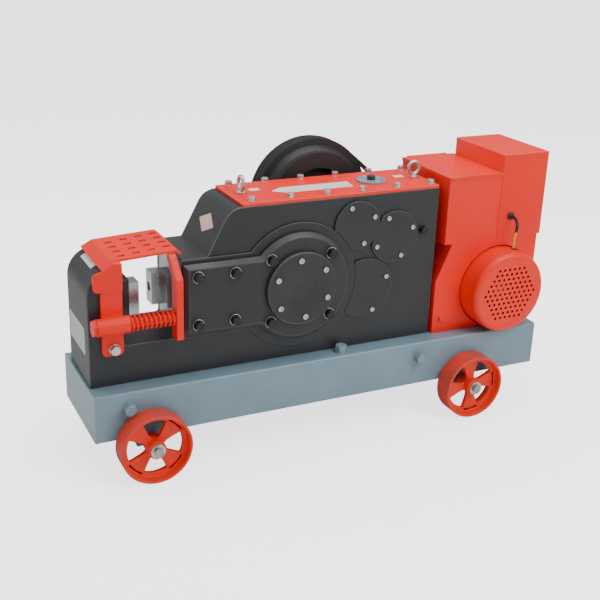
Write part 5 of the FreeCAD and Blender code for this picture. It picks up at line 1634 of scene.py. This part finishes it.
# ---------------------------------------------------------------- studio
@dataclass
class Studio:
    """Pale floor, soft lights and the camera.

    The world shines on the machine with strength light, and the camera sees it with strength
    backdrop. floor_glow is the floor's own light, which only the camera sees.
    """

    camera_mm: tuple[float, float, float] = (-573.3, -2319.3, 1336.4)
    azimuth: float = 26.41
    elevation: float = 21.32
    roll: float = 2.02
    lens: float = 61.28
    light: float = 0.62
    backdrop: float = 3.3
    floor_glow: float = 2.3

    def build(self, machine: Machine) -> None:
        """Add the floor, the lights, the world and the camera.

        Args:
            machine: takes the pieces and holds the CAD nodes.
        """
        scene = bpy.context.scene
        mesh = bpy.data.meshes.new("floor")
        reach = 30.0
        corners = [(-reach, -reach, 0), (reach, -reach, 0), (reach, reach, 0), (-reach, reach, 0)]
        mesh.from_pydata(corners, [], [(0, 1, 2, 3)])
        mesh.materials.append(STUDIO_FLOOR.material())
        self.lighten(STUDIO_FLOOR.material())
        floor = bpy.data.objects.new("floor", mesh)
        scene.collection.objects.link(floor)

        world = bpy.data.worlds.new("studio")
        world.use_nodes = True
        tree = world.node_tree
        tree.nodes.clear()
        seen = add_node(tree, "ShaderNodeLightPath", {}, {})
        strength = add_node(tree, "ShaderNodeMapRange", {"To Min": self.light, "To Max": self.backdrop},
                            {"Value": seen.outputs["Is Camera Ray"]})
        sky = add_node(
            tree, "ShaderNodeBackground", {"Color": linear("F6F7F8")},
            {"Strength": strength.outputs["Result"]},
        )
        add_node(tree, "ShaderNodeOutputWorld", {}, {"Surface": sky.outputs["Background"]})
        scene.world = world
        for name, place, size, power in (
            ("key", (1.6, -2.6, 3.2), 2.2, 95.0),
            ("top", (0.2, 0.4, 3.6), 3.0, 80.0),
            ("rim", (-2.8, 1.6, 2.4), 1.6, 25.0),
        ):
            self.softbox(name, Vector(place), size, power)
        self.camera(machine)

    def lighten(self, floor: bpy.types.Material) -> None:
        """Let the camera see the floor glow, as paper under studio lights does.

        Args:
            floor: the floor's material.
        """
        tree = floor.node_tree
        seen = add_node(tree, "ShaderNodeLightPath", {}, {})
        glow = add_node(tree, "ShaderNodeMath", {"operation": "MULTIPLY", 1: self.floor_glow},
                        {0: seen.outputs["Is Camera Ray"]})
        shader = next(node for node in tree.nodes if node.type == "BSDF_PRINCIPLED")
        shader.inputs["Emission Color"].default_value = linear("F4F4F4")
        tree.links.new(glow.outputs[0], shader.inputs["Emission Strength"])

    @staticmethod
    def softbox(name: str, place: Vector, size: float, power: float) -> None:
        """Add one square area light aimed at the middle of the machine.

        Args:
            name: the light's name.
            place: where it hangs, in metres.
            size: side of the square, in metres.
            power: watts.
        """
        light = bpy.data.lights.new(name, "AREA")
        light.size = size
        light.energy = power
        lamp = bpy.data.objects.new(name, light)
        lamp.location = place
        lamp.rotation_euler = (Vector((0, 0, 0.35)) - place).to_track_quat("-Z", "Y").to_euler()
        bpy.context.scene.collection.objects.link(lamp)

    def camera(self, machine: Machine) -> None:
        """Set the camera: it looks along its azimuth and elevation, rolled about that line.

        Args:
            machine: takes the pieces and holds the CAD nodes.
        """
        azimuth, elevation, roll = (math.radians(v) for v in (self.azimuth, self.elevation, self.roll))
        ahead = Vector((math.sin(azimuth) * math.cos(elevation), math.cos(azimuth) * math.cos(elevation),
                        -math.sin(elevation)))
        level = ahead.cross(Vector((0, 0, 1))).normalized()
        upright = level.cross(ahead)
        right = level * math.cos(roll) + upright * math.sin(roll)
        up = upright * math.cos(roll) - level * math.sin(roll)
        data = bpy.data.cameras.new("camera")
        data.sensor_width = 36.0
        data.lens = self.lens
        data.clip_end = 100.0
        camera = bpy.data.objects.new("camera", data)
        turn = Matrix((right, up, -ahead)).transposed()
        place = Vector(machine.metres(np.array(self.camera_mm)))
        camera.matrix_world = Matrix.Translation(place) @ turn.to_4x4()
        bpy.context.scene.collection.objects.link(camera)
        bpy.context.scene.camera = camera


def main() -> None:
    """Build the machine, then the studio."""
    logging.basicConfig(level=logging.INFO, format="%(message)s")
    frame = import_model()
    machine = Machine.from_frame(frame)
    assemblies = (
        Base(), CastWheels(), Housing(), FrontCovers(), Mechanism(), MouthGuard(), Motor(), SheetBoxes(),
        BlankLabels(), Studio(),
    )
    for assembly in assemblies:
        assembly.build(machine)


if __name__ == "__main__":
    main()
